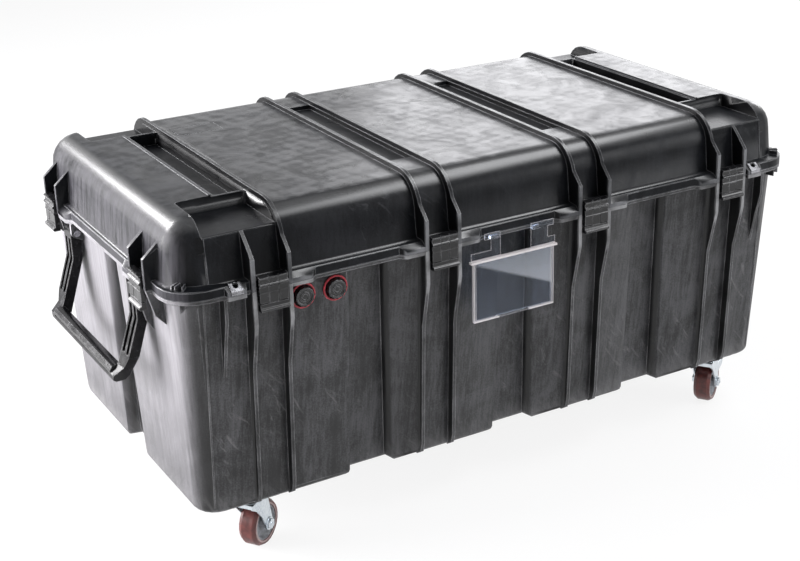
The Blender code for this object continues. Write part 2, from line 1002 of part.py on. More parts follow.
def slot_steps(mesh):
    """The step on each slot's inner side, which leaves the rib's face bare."""
    near = outer_pair - pair_half_pitch + rib_half + 0.0004
    far = slot_inner + slot_corner
    span = slot_half_span - 0.001
    for sign in (-1, 1):
        low, high = sorted((sign * near, sign * far))
        box(mesh, (low, -span, deck - slot_step_depth), (high, span, deck + 0.04))


def strap_channels(mesh):
    """The shallow channels across the deck between the two middle rib pairs."""
    half = pair_half_gap - 0.0005
    for place in (-inner_pair, inner_pair):
        outline = rounded(half, strap_channel_half_span, 0.004, 2)
        outline = [(place + x, y) for x, y in outline]
        slab(mesh, outline, deck - strap_channel_depth, deck + 0.05)


def panel_line(mesh):
    """The fine rectangular line on the deck."""
    loops = []
    sizes = (panel_half_size, tuple(size - panel_line_width for size in panel_half_size))
    for size, heights in zip(sizes, ((0, 1), (1, 0))):
        for height in heights:
            z = deck + 0.01 if height else deck - panel_line_depth
            outline = rounded(size[0], size[1], 0.003 if size is sizes[0] else 0.002, 2)
            loops.append([(panel_place[0] + x, panel_place[1] + y, z) for x, y in outline])
    rings = [[mesh.verts.new(point) for point in loop] for loop in loops]
    for one, two in zip(rings, rings[1:] + rings[:1]):
        count = len(one)
        for i in range(count):
            j = (i + 1) % count
            mesh.faces.new((one[i], one[j], two[j], two[i]))


def lid_rib_start():
    """The outer line of a lid rib from the parting line up to the end of its slant."""
    reach = side_reach(front)
    return [
        (reach + rib_reach, below_rim(5)),
        (reach + rib_reach, parting + lid_knee_height),
        (reach + rib_reach - lid_slant_back, parting + lid_slant_height),
    ]


def arch_outline():
    """A rib that runs over the deck from front to back, as one outline."""
    reach = side_reach(front)
    wall = reach - lid_wall_inset_side
    top = deck + rib_over_deck
    outer_centre = (reach + rib_reach - 0.082, top - rib_arc_radius)
    inner_radius = lid_edge_radius - 0.004
    inner_centre = (wall - lid_draft_side - lid_edge_radius, deck - lid_edge_radius)
    outer = lid_rib_start() + arc(outer_centre, rib_arc_radius, 25, 90, 5)
    inner = [(wall - 0.003, below_rim(5))]
    inner += arc(inner_centre, inner_radius, 0, 90, 5)
    half = outer + list(reversed(inner))
    count = len(outer)
    outer_far = [(-out, height) for out, height in reversed(half[:count])]
    inner_far = [(-out, height) for out, height in inner]
    return half[:count] + outer_far + inner_far + list(reversed(inner))


def deck_ribs(mesh):
    outline = arch_outline()
    centres = [outer_pair - pair_half_pitch]
    centres += [inner_pair - pair_half_pitch, inner_pair + pair_half_pitch]
    for centre in centres:
        prism(mesh, outline, centre - rib_half, centre + rib_half)
        prism(mesh, outline, -centre - rib_half, -centre + rib_half)


def outer_ribs(mesh):
    """The ribs nearest the corners stop at the pocket floors."""
    reach = side_reach(front)
    wall = reach - lid_wall_inset_side
    outline = lid_rib_start()
    outline += [(wall - 0.0090, deck - pocket_depth - 0.001)]
    outline += [(wall - 0.014, deck - pocket_depth - 0.006), (wall - 0.003, below_rim(5))]
    for side in (front, back):
        for sign in (-1, 1):
            centre = sign * (outer_pair + pair_half_pitch)
            prism(mesh, outline, centre - rib_half, centre + rib_half, side)


def end_ribs(mesh):
    reach = side_reach(left)
    wall = reach - lid_wall_inset_end
    outline = [
        (reach + rib_reach, below_rim(6)),
        (reach + rib_reach, parting + lid_knee_height),
        (wall - 0.0075, parting + lid_slant_height + 0.0025),
        (wall - 0.0105, parting + lid_slant_height - 0.006),
        (wall - 0.004, below_rim(6)),
    ]
    for side in (left, right):
        for place in (-end_pair, end_pair):
            for offset in (-pair_half_pitch, pair_half_pitch):
                centre = place + offset
                prism(mesh, outline, centre - rib_half, centre + rib_half, side)


def lid_blocks(mesh):
    face = parting + rim_block_face
    top = parting + lid_rim_depth - 0.0004
    pair_blocks(mesh, block_section(rim_block_out, below_rim(3), face, top))


def lid_seams(mesh):
    """The fine beads that run down the wall from the outer ends of the pockets."""
    wall = side_reach(front) - lid_wall_inset_side
    high_wall = wall - lid_draft_side
    edge_start = deck - lid_edge_radius
    floor = deck - pocket_depth
    outer = [
        (wall + seam_proud, below_rim(7)),
        (high_wall + seam_proud, edge_start),
        (high_wall - 0.0008, floor - 0.004),
        (high_wall - 0.0045, floor - 0.0008),
    ]
    outline = outer + [(out - 0.005, height) for out, height in reversed(outer)]
    centre = pocket_outer - 0.001
    half = seam_thickness / 2
    for side in (front, back):
        for place in (-centre, centre):
            prism(mesh, outline, place - half, place + half, side)


def latch_reliefs(mesh):
    """The rim steps back between a pair of ribs to make room for the latch."""
    for side, place in latch_places():
        reach = side_reach(side)
        outline = [
            (reach - latch_relief, below_rim(10)),
            (reach + 0.020, below_rim(10)),
            (reach + 0.020, parting + 0.045),
            (reach - latch_relief, parting + 0.045),
        ]
        half = pair_half_gap + rib_half
        prism(mesh, outline, place - half, place + half, side)


def latch_sockets(mesh):
    """The blind holes in the ribs that the latches turn in."""
    for side, place in latch_places():
        height = parting + latch_pivot_up
        reach = pair_half_gap + latch_trunnion_reach + 0.0008
        start = on_side(side, place - reach, latch_pivot_out, height)
        end = on_side(side, place + reach, latch_pivot_out, height)
        rod(mesh, start, end, latch_trunnion_radius + fit_gap, 8)


def lid_knuckles(mesh):
    reach = side_reach(back)
    centre = (reach + hinge_out, parting)
    outline = arc(centre, hinge_radius, -180, 90, 6)
    outline += [(reach - 0.010, parting + hinge_radius + 0.003)]
    outline += [(reach - 0.010, parting + 0.0008), (reach + 0.0015, parting + 0.0008)]
    for place in (-outer_pair, -inner_pair, inner_pair, outer_pair):
        prism(mesh, outline, place - hinge_lid_half, place + hinge_lid_half, back)


def lid_fins(mesh):
    low = parting + lid_rim_depth - 0.001
    high = parting + lid_rim_depth + 0.0075
    corner_fins(mesh, (30, 37, 50), rim_corner - 0.020, rim_corner - 0.005, low, high)


def lid_cavity(mesh):
    """The inside of the lid: full height between the slots, lower under them."""
    inner = rim_band
    half_length = half_rim[0] - inner
    half_width = half_rim[1] - inner
    ceiling = deck - cavity_ceiling_depth
    low = rounded(half_length, half_width, opening_corner)
    high = rounded(half_length - 0.003, half_width - lid_draft_side, opening_corner)
    loft(mesh, [
        [(x, y, parting - 0.01) for x, y in low],
        [(x, y, parting) for x, y in low],
        [(x, y, ceiling) for x, y in high],
    ])


def lid_upper_cavity(mesh):
    half_length = pocket_inner_end() - lid_skin
    top = deck - strap_channel_depth - lid_skin
    low = deck - cavity_ceiling_depth - 0.01
    centre = deck - lid_edge_radius
    side = half_rim[1] - rim_band - lid_draft_side
    loops = []
    for step in range(5):
        height = low + (top - low) * step / 4
        rise = max(0.0, height - centre)
        curve = lid_edge_radius - lid_skin
        inset = curve - math.sqrt(curve**2 - rise**2)
        outline = rounded(half_length, side - inset - 0.0005, 0.02, 3)
        loops.append([(x, y, height) for x, y in outline])
    loft(mesh, loops)


def seal_groove(mesh):
    outer = tongue_inset - groove_side_clearance
    inner = tongue_inset + tongue_width + groove_side_clearance
    depth = tongue_height + 2 * fit_gap + seal_thickness
    ring(mesh, outer, inner, parting - 0.002, parting + depth)


def make_lid(material):
    mesh = bmesh.new()
    lid_block(mesh)
    lid = new_object("lid_shell", mesh, material)
    add_end_blocks(lid)
    union(lid, rails)
    union(lid, pocket_floors)
    cut(lid, pockets)
    cut(lid, slots)
    cut(lid, slot_steps)
    union(lid, lid_seams)
    cut(lid, strap_channels)
    cut(lid, panel_line)
    union(lid, lid_rim)
    union(lid, lid_blocks)
    union(lid, lid_padlock_blocks)
    cut(lid, latch_reliefs)
    union(lid, deck_ribs)
    union(lid, outer_ribs)
    union(lid, end_ribs)
    cut(lid, lid_rim_waste)
    union(lid, lid_knuckles)
    union(lid, lid_fins)
    cut(lid, lid_cavity)
    cut(lid, lid_upper_cavity)
    cut(lid, seal_groove)
    cut(lid, latch_sockets)
    cut(lid, hinge_bores)
    cut(lid, padlock_holes)
    return lid


def make_seal(material):
    """The soft ring in the lid's groove, which the tongue of the base presses on."""
    mesh = bmesh.new()
    outer = tongue_inset - groove_side_clearance + fit_gap
    inner = tongue_inset + tongue_width + groove_side_clearance - fit_gap
    low = parting + tongue_height + fit_gap
    ring(mesh, outer, inner, low, low + seal_thickness)
    return new_object("lid_seal", mesh, material)


# Latches


def latch_outline():
    """The side view of a latch's body round its pivot: eye, finger bar, ledge and panel."""
    return arc((0, 0), latch_eye_radius, 270, 90, 4) + [
        (latch_front - 0.0040, latch_top),
        (latch_front - 0.0010, latch_top - 0.0010),
        (latch_front - 0.0010, latch_top - 0.0026),
        (latch_face - 0.0008, latch_top - 0.0036),
        (latch_face - 0.0008, latch_top - 0.0100),
        (latch_front - 0.0008, latch_top - 0.0112),
        (latch_front, latch_top - 0.0130),
        (latch_front - 0.0008, latch_top - 0.0148),
        (latch_face, latch_top - 0.0160),
        (latch_face, -latch_window_drop + 0.0022),
        (latch_face + 0.0012, -latch_window_drop + 0.0014),
        (latch_face + 0.0012, -latch_window_drop),
        (latch_face, -latch_window_drop - 0.0006),
        (latch_face, -latch_panel_drop),
        (latch_back, -latch_panel_drop),
        (latch_back, -latch_eye_radius - 0.002),
    ]


def latch_body(mesh):
    half = latch_width / 2
    prism(mesh, latch_outline(), -half, half)


def latch_window(mesh):
    """The opening for the stem of the release tongue."""
    half = tongue_half_width + tongue_side_gap
    low = -2 * latch_panel_drop
    box(mesh, (-half, -2 * latch_front, low), (half, 2 * latch_front, -latch_window_drop - 0.0003))


def latch_seams(mesh):
    """The two grooves that carry the edges of the stem up to the top of the latch."""
    near = tongue_half_width
    far = tongue_half_width + tongue_side_gap
    deep = latch_face - latch_seam_depth
    for sign in (-1, 1):
        low, high = sorted((sign * near, sign * far))
        bottom = -latch_window_drop - 0.002
        box(mesh, (low, -2 * latch_front, bottom), (high, -deep, 2 * latch_top))


def tongue_sockets(mesh):
    height = -tongue_pivot_drop
    reach = tongue_half_width + tongue_trunnion_reach + 0.0006
    start = (-reach, -tongue_pivot_out, height)
    end = (reach, -tongue_pivot_out, height)
    rod(mesh, start, end, tongue_trunnion_radius + fit_gap, 8)


def tongue_stem(mesh):
    """The upright of the release tongue round its own pivot."""
    top = tongue_pivot_drop - latch_window_drop - 0.0008
    foot = tongue_pivot_drop - latch_panel_drop - tongue_foot_gap
    back_face = latch_back + 0.0015 - tongue_pivot_out
    face = latch_face - 0.0004 - tongue_pivot_out
    outline = [
        (back_face, top - 0.0020),
        (back_face + 0.0020, top),
        (face - tongue_top_chamfer, top),
        (face, top - tongue_top_chamfer),
        (face, foot - 0.002),
        (back_face, foot - 0.002),
    ]
    prism(mesh, outline, -tongue_half_width, tongue_half_width)


def tongue_foot(mesh):
    """The wide foot of the release tongue, with its rounded finger lip."""
    top = tongue_pivot_drop - latch_panel_drop - tongue_foot_gap
    bottom = tongue_pivot_drop - latch_drop
    back_face = latch_back + 0.0005 - tongue_pivot_out
    face = latch_face - tongue_pivot_out
    lip = tongue_lip_out - tongue_pivot_out
    outline = [
        (back_face, top),
        (face, top),
        (face, bottom + 0.0070),
        (lip - 0.0018, bottom + 0.0062),
        (lip - 0.0003, bottom + 0.0048),
        (lip, bottom + 0.0030),
        (lip - 0.0007, bottom + 0.0012),
        (lip - 0.0025, bottom),
        (back_face, bottom),
    ]
    half = latch_width / 2
    prism(mesh, outline, -half, half)


def tongue_trunnions(mesh):
    reach = tongue_half_width + tongue_trunnion_reach
    rod(mesh, (-reach, 0, 0), (reach, 0, 0), tongue_trunnion_radius, 8)


def latch_name(side, place):
    """Front latches are numbered from the left; end latches are named by their corner."""
    if side == front:
        places = (-outer_pair, -inner_pair, inner_pair, outer_pair)
        return f"latch_front_{places.index(place) + 1}"
    end = "left" if side == left else "right"
    world_y = -place if side == left else place
    return f"latch_{end}_{'front' if world_y < 0 else 'rear'}"


def make_latches(material):
    mesh = bmesh.new()
    latch_body(mesh)
    body = new_object("latch_pattern", mesh, material)
    cut(body, latch_seams)
    cut(body, latch_window)
    cut(body, tongue_sockets)
    union(body, side_trunnions)
    mesh = bmesh.new()
    tongue_foot(mesh)
    tongue = new_object("tongue_pattern", mesh, material)
    union(tongue, tongue_stem)
    union(tongue, tongue_trunnions)
    for side, place in latch_places():
        height = parting + latch_pivot_up
        name = latch_name(side, place)
        pivot = on_side(side, place, latch_pivot_out, height)
        copy_of(body, name, pivot, side)
        out = latch_pivot_out + tongue_pivot_out
        pivot = on_side(side, place, out, height - tongue_pivot_drop)
        copy_of(tongue, f"{name}_tongue", pivot, side)
    bpy.data.objects.remove(body, do_unlink=True)
    bpy.data.objects.remove(tongue, do_unlink=True)


def side_trunnions(mesh):
    """The stub pins moulded on both sides of a latch."""
    inner = latch_width / 2 - 0.004
    outer = pair_half_gap + latch_trunnion_reach
    for sign in (-1, 1):
        rod(mesh, (sign * inner, 0, 0), (sign * outer, 0, 0), latch_trunnion_radius, 8)


# Hinge pins


def make_hinge_pins(material):
    for index, place in enumerate((-outer_pair, -inner_pair, inner_pair, outer_pair)):
        mesh = bmesh.new()
        half = hinge_half_span
        rod(mesh, (-half, 0, 0), (half, 0, 0), hinge_pin_radius, 10)
        centre = (place, side_reach(back) + hinge_out, parting)
        new_object(f"hinge_pin_{index + 1}", mesh, material, centre)


# Handles


def arm_outline():
    """The side view of a handle arm round its pivot."""
    eye = handle_eye_radius
    foot = -handle_drop
    outline = arc((0, 0), eye, 180, 0, 8)
    outline += [
        (eye, -handle_straight),
        (eye + 0.0265, foot + 0.027),
        (eye + 0.0425, foot + 0.014),
        (eye + 0.0425, foot + 0.005),
        (eye + 0.0365, foot),
        (eye + 0.0205, foot),
        (eye + 0.0145, foot + 0.007),
        (-eye, -handle_straight + 0.002),
    ]
    return outline


def grip_outline():
    """The section of the grip: rounded inside, with a flat top and a fine groove outside."""
    eye = handle_eye_radius
    foot = -handle_drop
    return [
        (eye + 0.0175, foot + 0.004),
        (eye + 0.0175, foot + 0.009),
        (eye + 0.0185, foot + 0.017),
        (eye + 0.0235, foot + 0.0240),
        (eye + 0.0320, foot + 0.0260),
        (eye + 0.0385, foot + 0.0240),
        (eye + 0.0425, foot + 0.0185),
        (eye + 0.0425, foot + 0.0140),
        (eye + 0.0408, foot + 0.0130),
        (eye + 0.0408, foot + 0.0110),
        (eye + 0.0425, foot + 0.0100),
        (eye + 0.0425, foot + 0.0050),
        (eye + 0.0375, foot),
        (eye + 0.0225, foot),
    ]


def arm_ends(sign):
    half = handle_arm_width / 2
    return sorted((sign * (handle_arm_place - half), sign * (handle_arm_place + half)))


def handle_arms(mesh):
    for sign in (-1, 1):
        low, high = arm_ends(sign)
        prism(mesh, arm_outline(), low, high)


def arm_grooves(mesh):
    """The two long grooves in each arm's face."""
    eye = handle_eye_radius
    bottom = -handle_drop + 0.047
    deep = eye - handle_groove_depth
    outline = [
        (deep, -0.012),
        (deep, -handle_straight - 0.0017),
        (deep + 0.0192, bottom),
        (0.1, bottom),
        (0.1, -0.012),
    ]
    half = handle_groove_width / 2
    for sign in (-1, 1):
        for offset in (-handle_groove_offset, handle_groove_offset):
            centre = sign * handle_arm_place + offset
            prism(mesh, outline, centre - half, centre + half)


def arm_bores(mesh):
    for sign in (-1, 1):
        low, high = arm_ends(sign)
        rod(mesh, (low - 0.01, 0, 0), (high + 0.01, 0, 0), handle_pin_radius + fit_gap, 10)


def handle_corners(mesh):
    """The slanted corners where the arms meet the grip."""
    edge = handle_arm_place + handle_arm_width / 2
    foot = -handle_drop
    for sign in (-1, 1):
        outline = [
            (sign * (edge + 0.01), foot + 0.060),
            (sign * (edge + 0.00), foot + 0.045),
            (sign * (edge - 0.024), foot - 0.001),
            (sign * (edge + 0.01), foot - 0.001),
        ]
        loops = [[(s, y, z) for s, z in outline] for y in (-0.1, 0.1)]
        loft(mesh, loops)


def make_handles(material):
    mesh = bmesh.new()
    half = handle_arm_place - handle_arm_width / 2 + 0.004
    prism(mesh, grip_outline(), -half, half)
    pattern = new_object("handle_pattern", mesh, material)
    union(pattern, handle_arms)
    cut(pattern, handle_corners)
    cut(pattern, arm_grooves)
    cut(pattern, arm_bores)
    for side, name in ((left, "handle_left"), (right, "handle_right")):
        pivot = on_side(side, 0.0, -handle_pivot_in, parting - handle_pivot_drop)
        copy_of(pattern, name, pivot, side)
    bpy.data.objects.remove(pattern, do_unlink=True)


def make_handle_pins(material):
    """Each pin runs from its head, inside the ear, through the arm into the rib."""
    inner = handle_arm_place - handle_arm_width / 2 - lug_gap - lug_thickness - fit_gap
    outer = end_pair - pair_half_pitch + rib_half
    for side, end_name in ((left, "left"), (right, "right")):
        for sign in (-1, 1):
            mesh = bmesh.new()
            pin = handle_pin_radius
            profile = [
                (0.0005, inner - 0.002),
                (handle_pin_head, inner - 0.002),
                (handle_pin_head, inner),
                (pin, inner),
                (pin, outer),
                (0.0005, outer),
            ]
            rings = []
            for radius, along in profile:
                circle = arc((0, 0), radius, 0, 360, 10)[:-1]
                rings.append([(sign * along, x, y) for x, y in circle])
            loft(mesh, rings)
            height = parting - handle_pivot_drop
            world_y = -sign if side == left else sign
            name = f"handle_pin_{end_name}_{'front' if world_y < 0 else 'rear'}"
            pivot = on_side(side, 0.0, -handle_pivot_in, height)
            new_object(name, mesh, material, pivot, side)


# Valves, padlock plates and the document holder


def make_valves(knob_material, ring_material):
    """Each knob stands inside a soft ring that lies against its boss on the wall."""
    face = side_reach(front) - base_wall_inset_side + valve_pad_out
    back_face = face + fit_gap
    front_face = back_face + valve_depth

    def fluted(radius, angle):
        if radius < valve_radius * 0.9:
            return radius
        return radius - valve_flute * (1 - math.cos(valve_flutes * angle)) / 2

    profile = [
        (0.0010, face - 0.028),
        (valve_stem_radius, face - 0.028),
        (valve_stem_radius, back_face),
        (valve_radius - 0.0010, back_face),
        (valve_radius, back_face + 0.0015),
        (valve_radius, front_face - 0.0020),
        (valve_radius - 0.0025, front_face),
        (0.0127, front_face),
        (0.0120, front_face - 0.0018),
        (0.0085, front_face - 0.0018),
        (0.0078, front_face - 0.0002),
        (0.0048, front_face - 0.0002),
        (0.0042, front_face - 0.0014),
        (0.0010, front_face - 0.0014),
    ]
    for index, place in enumerate(valve_places):
        mesh = bmesh.new()
        loops = []
        for radius, out in profile:
            loop = []
            for x, z in arc((0, 0), 1.0, 0, 360, 2 * valve_flutes)[:-1]:
                reach = fluted(radius, math.atan2(z, x))
                loop.append((x * reach, -out, z * reach))
            loops.append(loop)
        loft(mesh, loops)
        centre = (place, 0.0, parting - valve_drop)
        new_object(f"valve_knob_{index + 1}", mesh, knob_material, centre)
        mesh = bmesh.new()
        middle = face + fit_gap + valve_ring_thickness
        section = arc((valve_ring_radius, middle), valve_ring_thickness, 0, 360, 6)[:-1]
        turned(mesh, section, (0, 0, 0), (0, -1, 0), 24)
        new_object(f"valve_ring_{index + 1}", mesh, ring_material, centre)


def padlock_plate_outline():
    """The fold of a plate: over the rim, down the block's slanted top and down its front."""
    reach = side_reach(front)
    block_front = Vector((reach + padlock_block_out, parting + padlock_block_face))
    block_back = Vector((reach - 0.001, parting + lid_rim_depth - 0.0004))
    along = (block_back - block_front).normalized()
    away = Vector((along.y, -along.x))
    lines = []
    for sheet in (0.0, padlock_sheet):
        lift = fit_gap + sheet
        start = block_front + away * lift
        face = block_front.x + lift
        height = parting + lid_rim_depth + 0.0008 + sheet
        lines.append([
            (reach - padlock_plate_back, height),
            tuple(start + along * ((height - start.y) / along.y)),
            tuple(start + along * ((face - start.x) / along.x)),
            (face, parting + padlock_plate_low),
        ])
    return lines[0] + list(reversed(lines[1]))


def plate_grooves(mesh):
    """The groove that parts the plate's front into two bars."""
    face = side_reach(front) + padlock_block_out + fit_gap + padlock_sheet
    middle = parting + (padlock_plate_low + padlock_block_face) / 2 + 0.0003
    length = padlock_place + padlock_block_half
    box(mesh, (-length, -2 * face, middle - 0.0005), (length, -(face - 0.0008), middle + 0.0005))


def make_padlock_plates(material):
    """A folded steel plate over each padlock block, with the block's hole through it."""
    for sign, name in ((-1, "padlock_plate_left"), (1, "padlock_plate_right")):
        mesh = bmesh.new()
        centre = sign * padlock_place
        outline = padlock_plate_outline()
        prism(mesh, outline, centre - padlock_plate_half, centre + padlock_plate_half)
        plate = new_object(name, mesh, material)
        cut(plate, padlock_holes)
        cut(plate, plate_grooves)


def holder_plate(mesh):
    """The body of the holder: a flat pocket, open along its top edge."""
    near = side_reach(front) + holder_out
    thick = 2 * holder_sheet + holder_slot
    top = parting - holder_top_drop
    box(mesh, (holder_left, -(near + thick), top - holder_depth), (holder_right, -near, top))


def holder_flange(mesh):
    """The thick lip round the mouth of the pocket."""
    near = side_reach(front) + holder_out
    far = near + 2 * holder_sheet + holder_slot + holder_flange_out
    top = parting - holder_top_drop + 0.0003
    side = holder_flange_side
    low = (holder_left - side, -far, top - holder_flange_depth)
    box(mesh, low, (holder_right + side, -(near + 0.0001), top))


def holder_slot_cut(mesh):
    near = side_reach(front) + holder_out + holder_sheet
    top = parting - holder_top_drop
    low = (holder_left + holder_side, -(near + holder_slot), top - holder_depth + holder_side)
    box(mesh, low, (holder_right - holder_side, -near, top + 0.02))


def holder_tabs(mesh):
    """Two hooked tabs rise from the back sheet in front of the rim."""
    near = side_reach(front) + holder_out
    low = parting - holder_top_drop - 0.006
    strip = parting - holder_top_drop + holder_strip_rise
    hook = parting - holder_hook_drop
    high = parting + holder_tab_rise
    left_tab = [
        (holder_left - 0.0020, low),
        (holder_left + 0.0555, low),
        (holder_left + 0.0545, high),
        (holder_left + 0.0245, high),
        (holder_left + 0.0245, hook),
        (holder_left + 0.0363, hook),
        (holder_left + 0.0363, strip),
        (holder_left - 0.0020, strip),
    ]
    right_tab = [
        (holder_right - 0.0435, low),
        (holder_right + 0.0050, low),
        (holder_right + 0.0050, strip),
        (holder_right - 0.0098, strip),
        (holder_right - 0.0098, hook),
        (holder_right + 0.0020, hook),
        (holder_right + 0.0020, high),
        (holder_right - 0.0435, high),
    ]
    for tab in (left_tab, right_tab):
        loops = [[(x, -out, z) for x, z in tab] for out in (near + 0.00005, near + holder_sheet)]
        loft(mesh, loops)


def holder_pads(mesh):
    """The pads behind the tabs, which clip against the edge of the base rim."""
    reach = side_reach(front)
    near = reach + fit_gap
    far = reach + holder_out + holder_sheet / 2
    low = parting - base_rim_depth + 0.0005
    high = parting - fit_gap - 0.0008
    for start in (holder_left + 0.0370, holder_right - 0.0400):
        box(mesh, (start, -far, low), (start + 0.0160, -near, high))


def make_holder(material):
    mesh = bmesh.new()
    holder_plate(mesh)
    holder = new_object("document_holder", mesh, material)
    union(holder, holder_flange)
    union(holder, holder_tabs)
    cut(holder, holder_slot_cut)
    union(holder, holder_pads)
    return holder


# Casters


def caster_sites():
    return [
        ("caster_front_left", -1, -1, False),
        ("caster_front_right", 1, -1, True),
        ("caster_rear_left", -1, 1, False),
        ("caster_rear_right", 1, 1, True),
    ]


def plate_body(mesh):
    """The top plate, its bearing race, the kingpin and the nut under the fork."""
    top = underside + plate_recess - fit_gap
    outline = rounded(plate_half_size[0], plate_half_size[1], 0.004, 2)
    slab(mesh, outline, top - plate_thickness, top)


def race_bottom():
    return underside - crown_drop + fit_gap


def plate_race(mesh):
    top = underside + plate_recess - fit_gap - plate_thickness / 2
    rod(mesh, (0, 0, race_bottom()), (0, 0, top), race_radius, 16)


def plate_kingpin(mesh):
    crown_bottom = race_bottom() - fit_gap - crown_thickness
    nut_top = crown_bottom - fit_gap
    rod(mesh, (0, 0, nut_top - 0.004), (0, 0, race_bottom() + 0.002), kingpin_radius, 10)


def plate_nut(mesh):
    crown_bottom = race_bottom() - fit_gap - crown_thickness
    nut_top = crown_bottom - fit_gap
    rod(mesh, (0, 0, nut_top - 0.007), (0, 0, nut_top), 0.009, 6)


def plate_screws(mesh):
    bottom = underside + plate_recess - fit_gap - plate_thickness
    for sign_x in (-1, 1):
        for sign_y in (-1, 1):
            x = sign_x * (plate_half_size[0] - 0.009)
            y = sign_y * (plate_half_size[1] - 0.008)
            rod(mesh, (x, y, bottom - 0.002), (x, y, bottom + 0.002), 0.0050, 6)


def fork_crown(mesh):
    top = race_bottom() - fit_gap
    rod(mesh, (0, 0, top - crown_thickness), (0, 0, top), crown_radius, 16)


def leg_outline():
    """The side view of a fork leg: wide under the crown, swept back to the axle."""
    top = race_bottom() - fit_gap - 0.0006
    axle = (caster_trail, wheel_radius)
    outline = [
        (-0.024, top - 0.008),
        (-0.024, top),
        (0.024, top),
    ]
    outline += arc(axle, 0.0115, 10, -190, 6)
    outline += [(0.004, wheel_radius + 0.022), (-0.012, top - 0.016)]
    return outline


def ear_outline():
    """The ear behind a fork leg that carries the brake pedal."""
    x = caster_trail + brake_pivot[0]
    z = wheel_radius + brake_pivot[1]
    outline = [(caster_trail - 0.001, z - 0.010), (caster_trail + 0.002, z + 0.012)]
    outline += arc((x, z), 0.0065, 75, -60, 4)
    return outline


def in_fork_plane(mesh, outline, low, high):
    """An outline of (distance along the heading, height), drawn along the axle."""
    loft(mesh, [[(x, y, z) for x, z in outline] for y in (low, high)])


def fork_legs(mesh):
    for sign in (-1, 1):
        ends = sorted((sign * leg_gap, sign * (leg_gap + leg_thickness)))
        in_fork_plane(mesh, leg_outline(), ends[0], ends[1])


def fork_ears(mesh):
    for sign in (-1, 1):
        near = leg_gap + 0.0002
        far = leg_gap + leg_thickness - 0.0002
        ends = sorted((sign * near, sign * far))
        in_fork_plane(mesh, ear_outline(), ends[0], ends[1])


def fork_bores(mesh):
    top = race_bottom()
    rod(mesh, (0, 0, top - 0.02), (0, 0, top + 0.01), kingpin_radius + fit_gap, 10)
    half = leg_gap + leg_thickness + 0.01
    x, z = caster_trail, wheel_radius
    rod(mesh, (x, -half, z), (x, half, z), axle_radius + fit_gap, 10)


def ear_bores(mesh):
    half = leg_gap + leg_thickness + 0.01
    x = caster_trail + brake_pivot[0]
    z = wheel_radius + brake_pivot[1]
    rod(mesh, (x, -half, z), (x, half, z), brake_trunnion_radius + fit_gap, 10)


def fork_hood(mesh):
    """The bent front of the fork that joins the legs under the crown."""
    top = race_bottom() - fit_gap - 0.0008
    half = leg_gap + leg_thickness / 2
    outline = [
        (-0.0235, top - 0.0070),
        (-0.0215, top - 0.0070),
        (-0.0215, top - 0.0022),
        (0.0230, top - 0.0022),
        (0.0230, top),
        (-0.0235, top),
    ]
    in_fork_plane(mesh, outline, -half, half)


def make_fork(name, place, braked, material):
    mesh = bmesh.new()
    fork_crown(mesh)
    fork = new_object(name, mesh, material, (0, 0, 0))
    union(fork, fork_hood)
    union(fork, fork_legs)
    cut(fork, fork_bores)
    if braked:
        union(fork, fork_ears)
        cut(fork, ear_bores)
    fork.location = place
    fork.rotation_euler = (0, 0, caster_heading)
    return fork


def tread_profile():
    inner = wheel_radius - tread_depth
    half = wheel_width / 2
    return [
        (inner, -half + 0.0015),
        (wheel_radius - 0.004, -half),
        (wheel_radius, -half + 0.006),
        (wheel_radius, half - 0.006),
        (wheel_radius - 0.004, half),
        (inner, half - 0.0015),
    ]


def hub_profile():
    outer = wheel_radius - tread_depth - fit_gap
    half = wheel_width / 2 - 0.002
    boss = hub_width / 2
    return [
        (axle_radius + fit_gap, -boss),
        (0.0100, -boss),
        (0.0115, -0.007),
        (outer - 0.0055, -0.007),
        (outer - 0.0020, -half),
        (outer, -half),
        (outer, half),
        (outer - 0.0020, half),
        (outer - 0.0055, 0.007),
        (0.0115, 0.007),
        (0.0100, boss),
        (axle_radius + fit_gap, boss),
    ]


def axle_profile():
    face = leg_gap + leg_thickness + fit_gap
    return [
        (0.0008, -face - 0.0042),
        (axle_head_radius, -face - 0.0042),
        (axle_head_radius, -face),
        (axle_radius, -face),
        (axle_radius, face),
        (axle_head_radius, face),
        (axle_head_radius, face + 0.0042),
        (0.0008, face + 0.0042),
    ]


def spun(mesh, profile, steps):
    """A profile of (radius, distance) turned round the axle, with its ends closed flat."""
    loops = []
    for radius, along in profile:
        circle = arc((0, 0), radius, 0, 360, steps)[:-1]
        loops.append([(x, along, z) for x, z in circle])
    loft(mesh, loops)


def make_wheel(name, axle_centre, materials):
    mesh = bmesh.new()
    turned(mesh, tread_profile(), (0, 0, 0), (0, 1, 0), 24)
    new_object(f"{name}_tread", mesh, materials["tread"], axle_centre, caster_heading)
    mesh = bmesh.new()
    turned(mesh, hub_profile(), (0, 0, 0), (0, 1, 0), 16)
    new_object(f"{name}_hub", mesh, materials["hub"], axle_centre, caster_heading)
    mesh = bmesh.new()
    spun(mesh, axle_profile(), 10)
    new_object(f"{name}_axle", mesh, materials["zinc"], axle_centre, caster_heading)


def pedal_outline():
    """The side view of the brake pedal round its pivot, with the lobe that grips the tread."""
    outline = arc((0, 0), brake_eye_radius, 95, 225, 5)
    outline += [
        brake_lobe,
        (0.0060, -0.0042),
        (pedal_reach, -0.0062),
        (pedal_reach + 0.001, -0.0030),
        (0.0120, 0.0020),
    ]
    return outline


def pedal_trunnions(mesh):
    half = leg_gap + leg_thickness
    rod(mesh, (0, -half, 0), (0, half, 0), brake_trunnion_radius, 10)


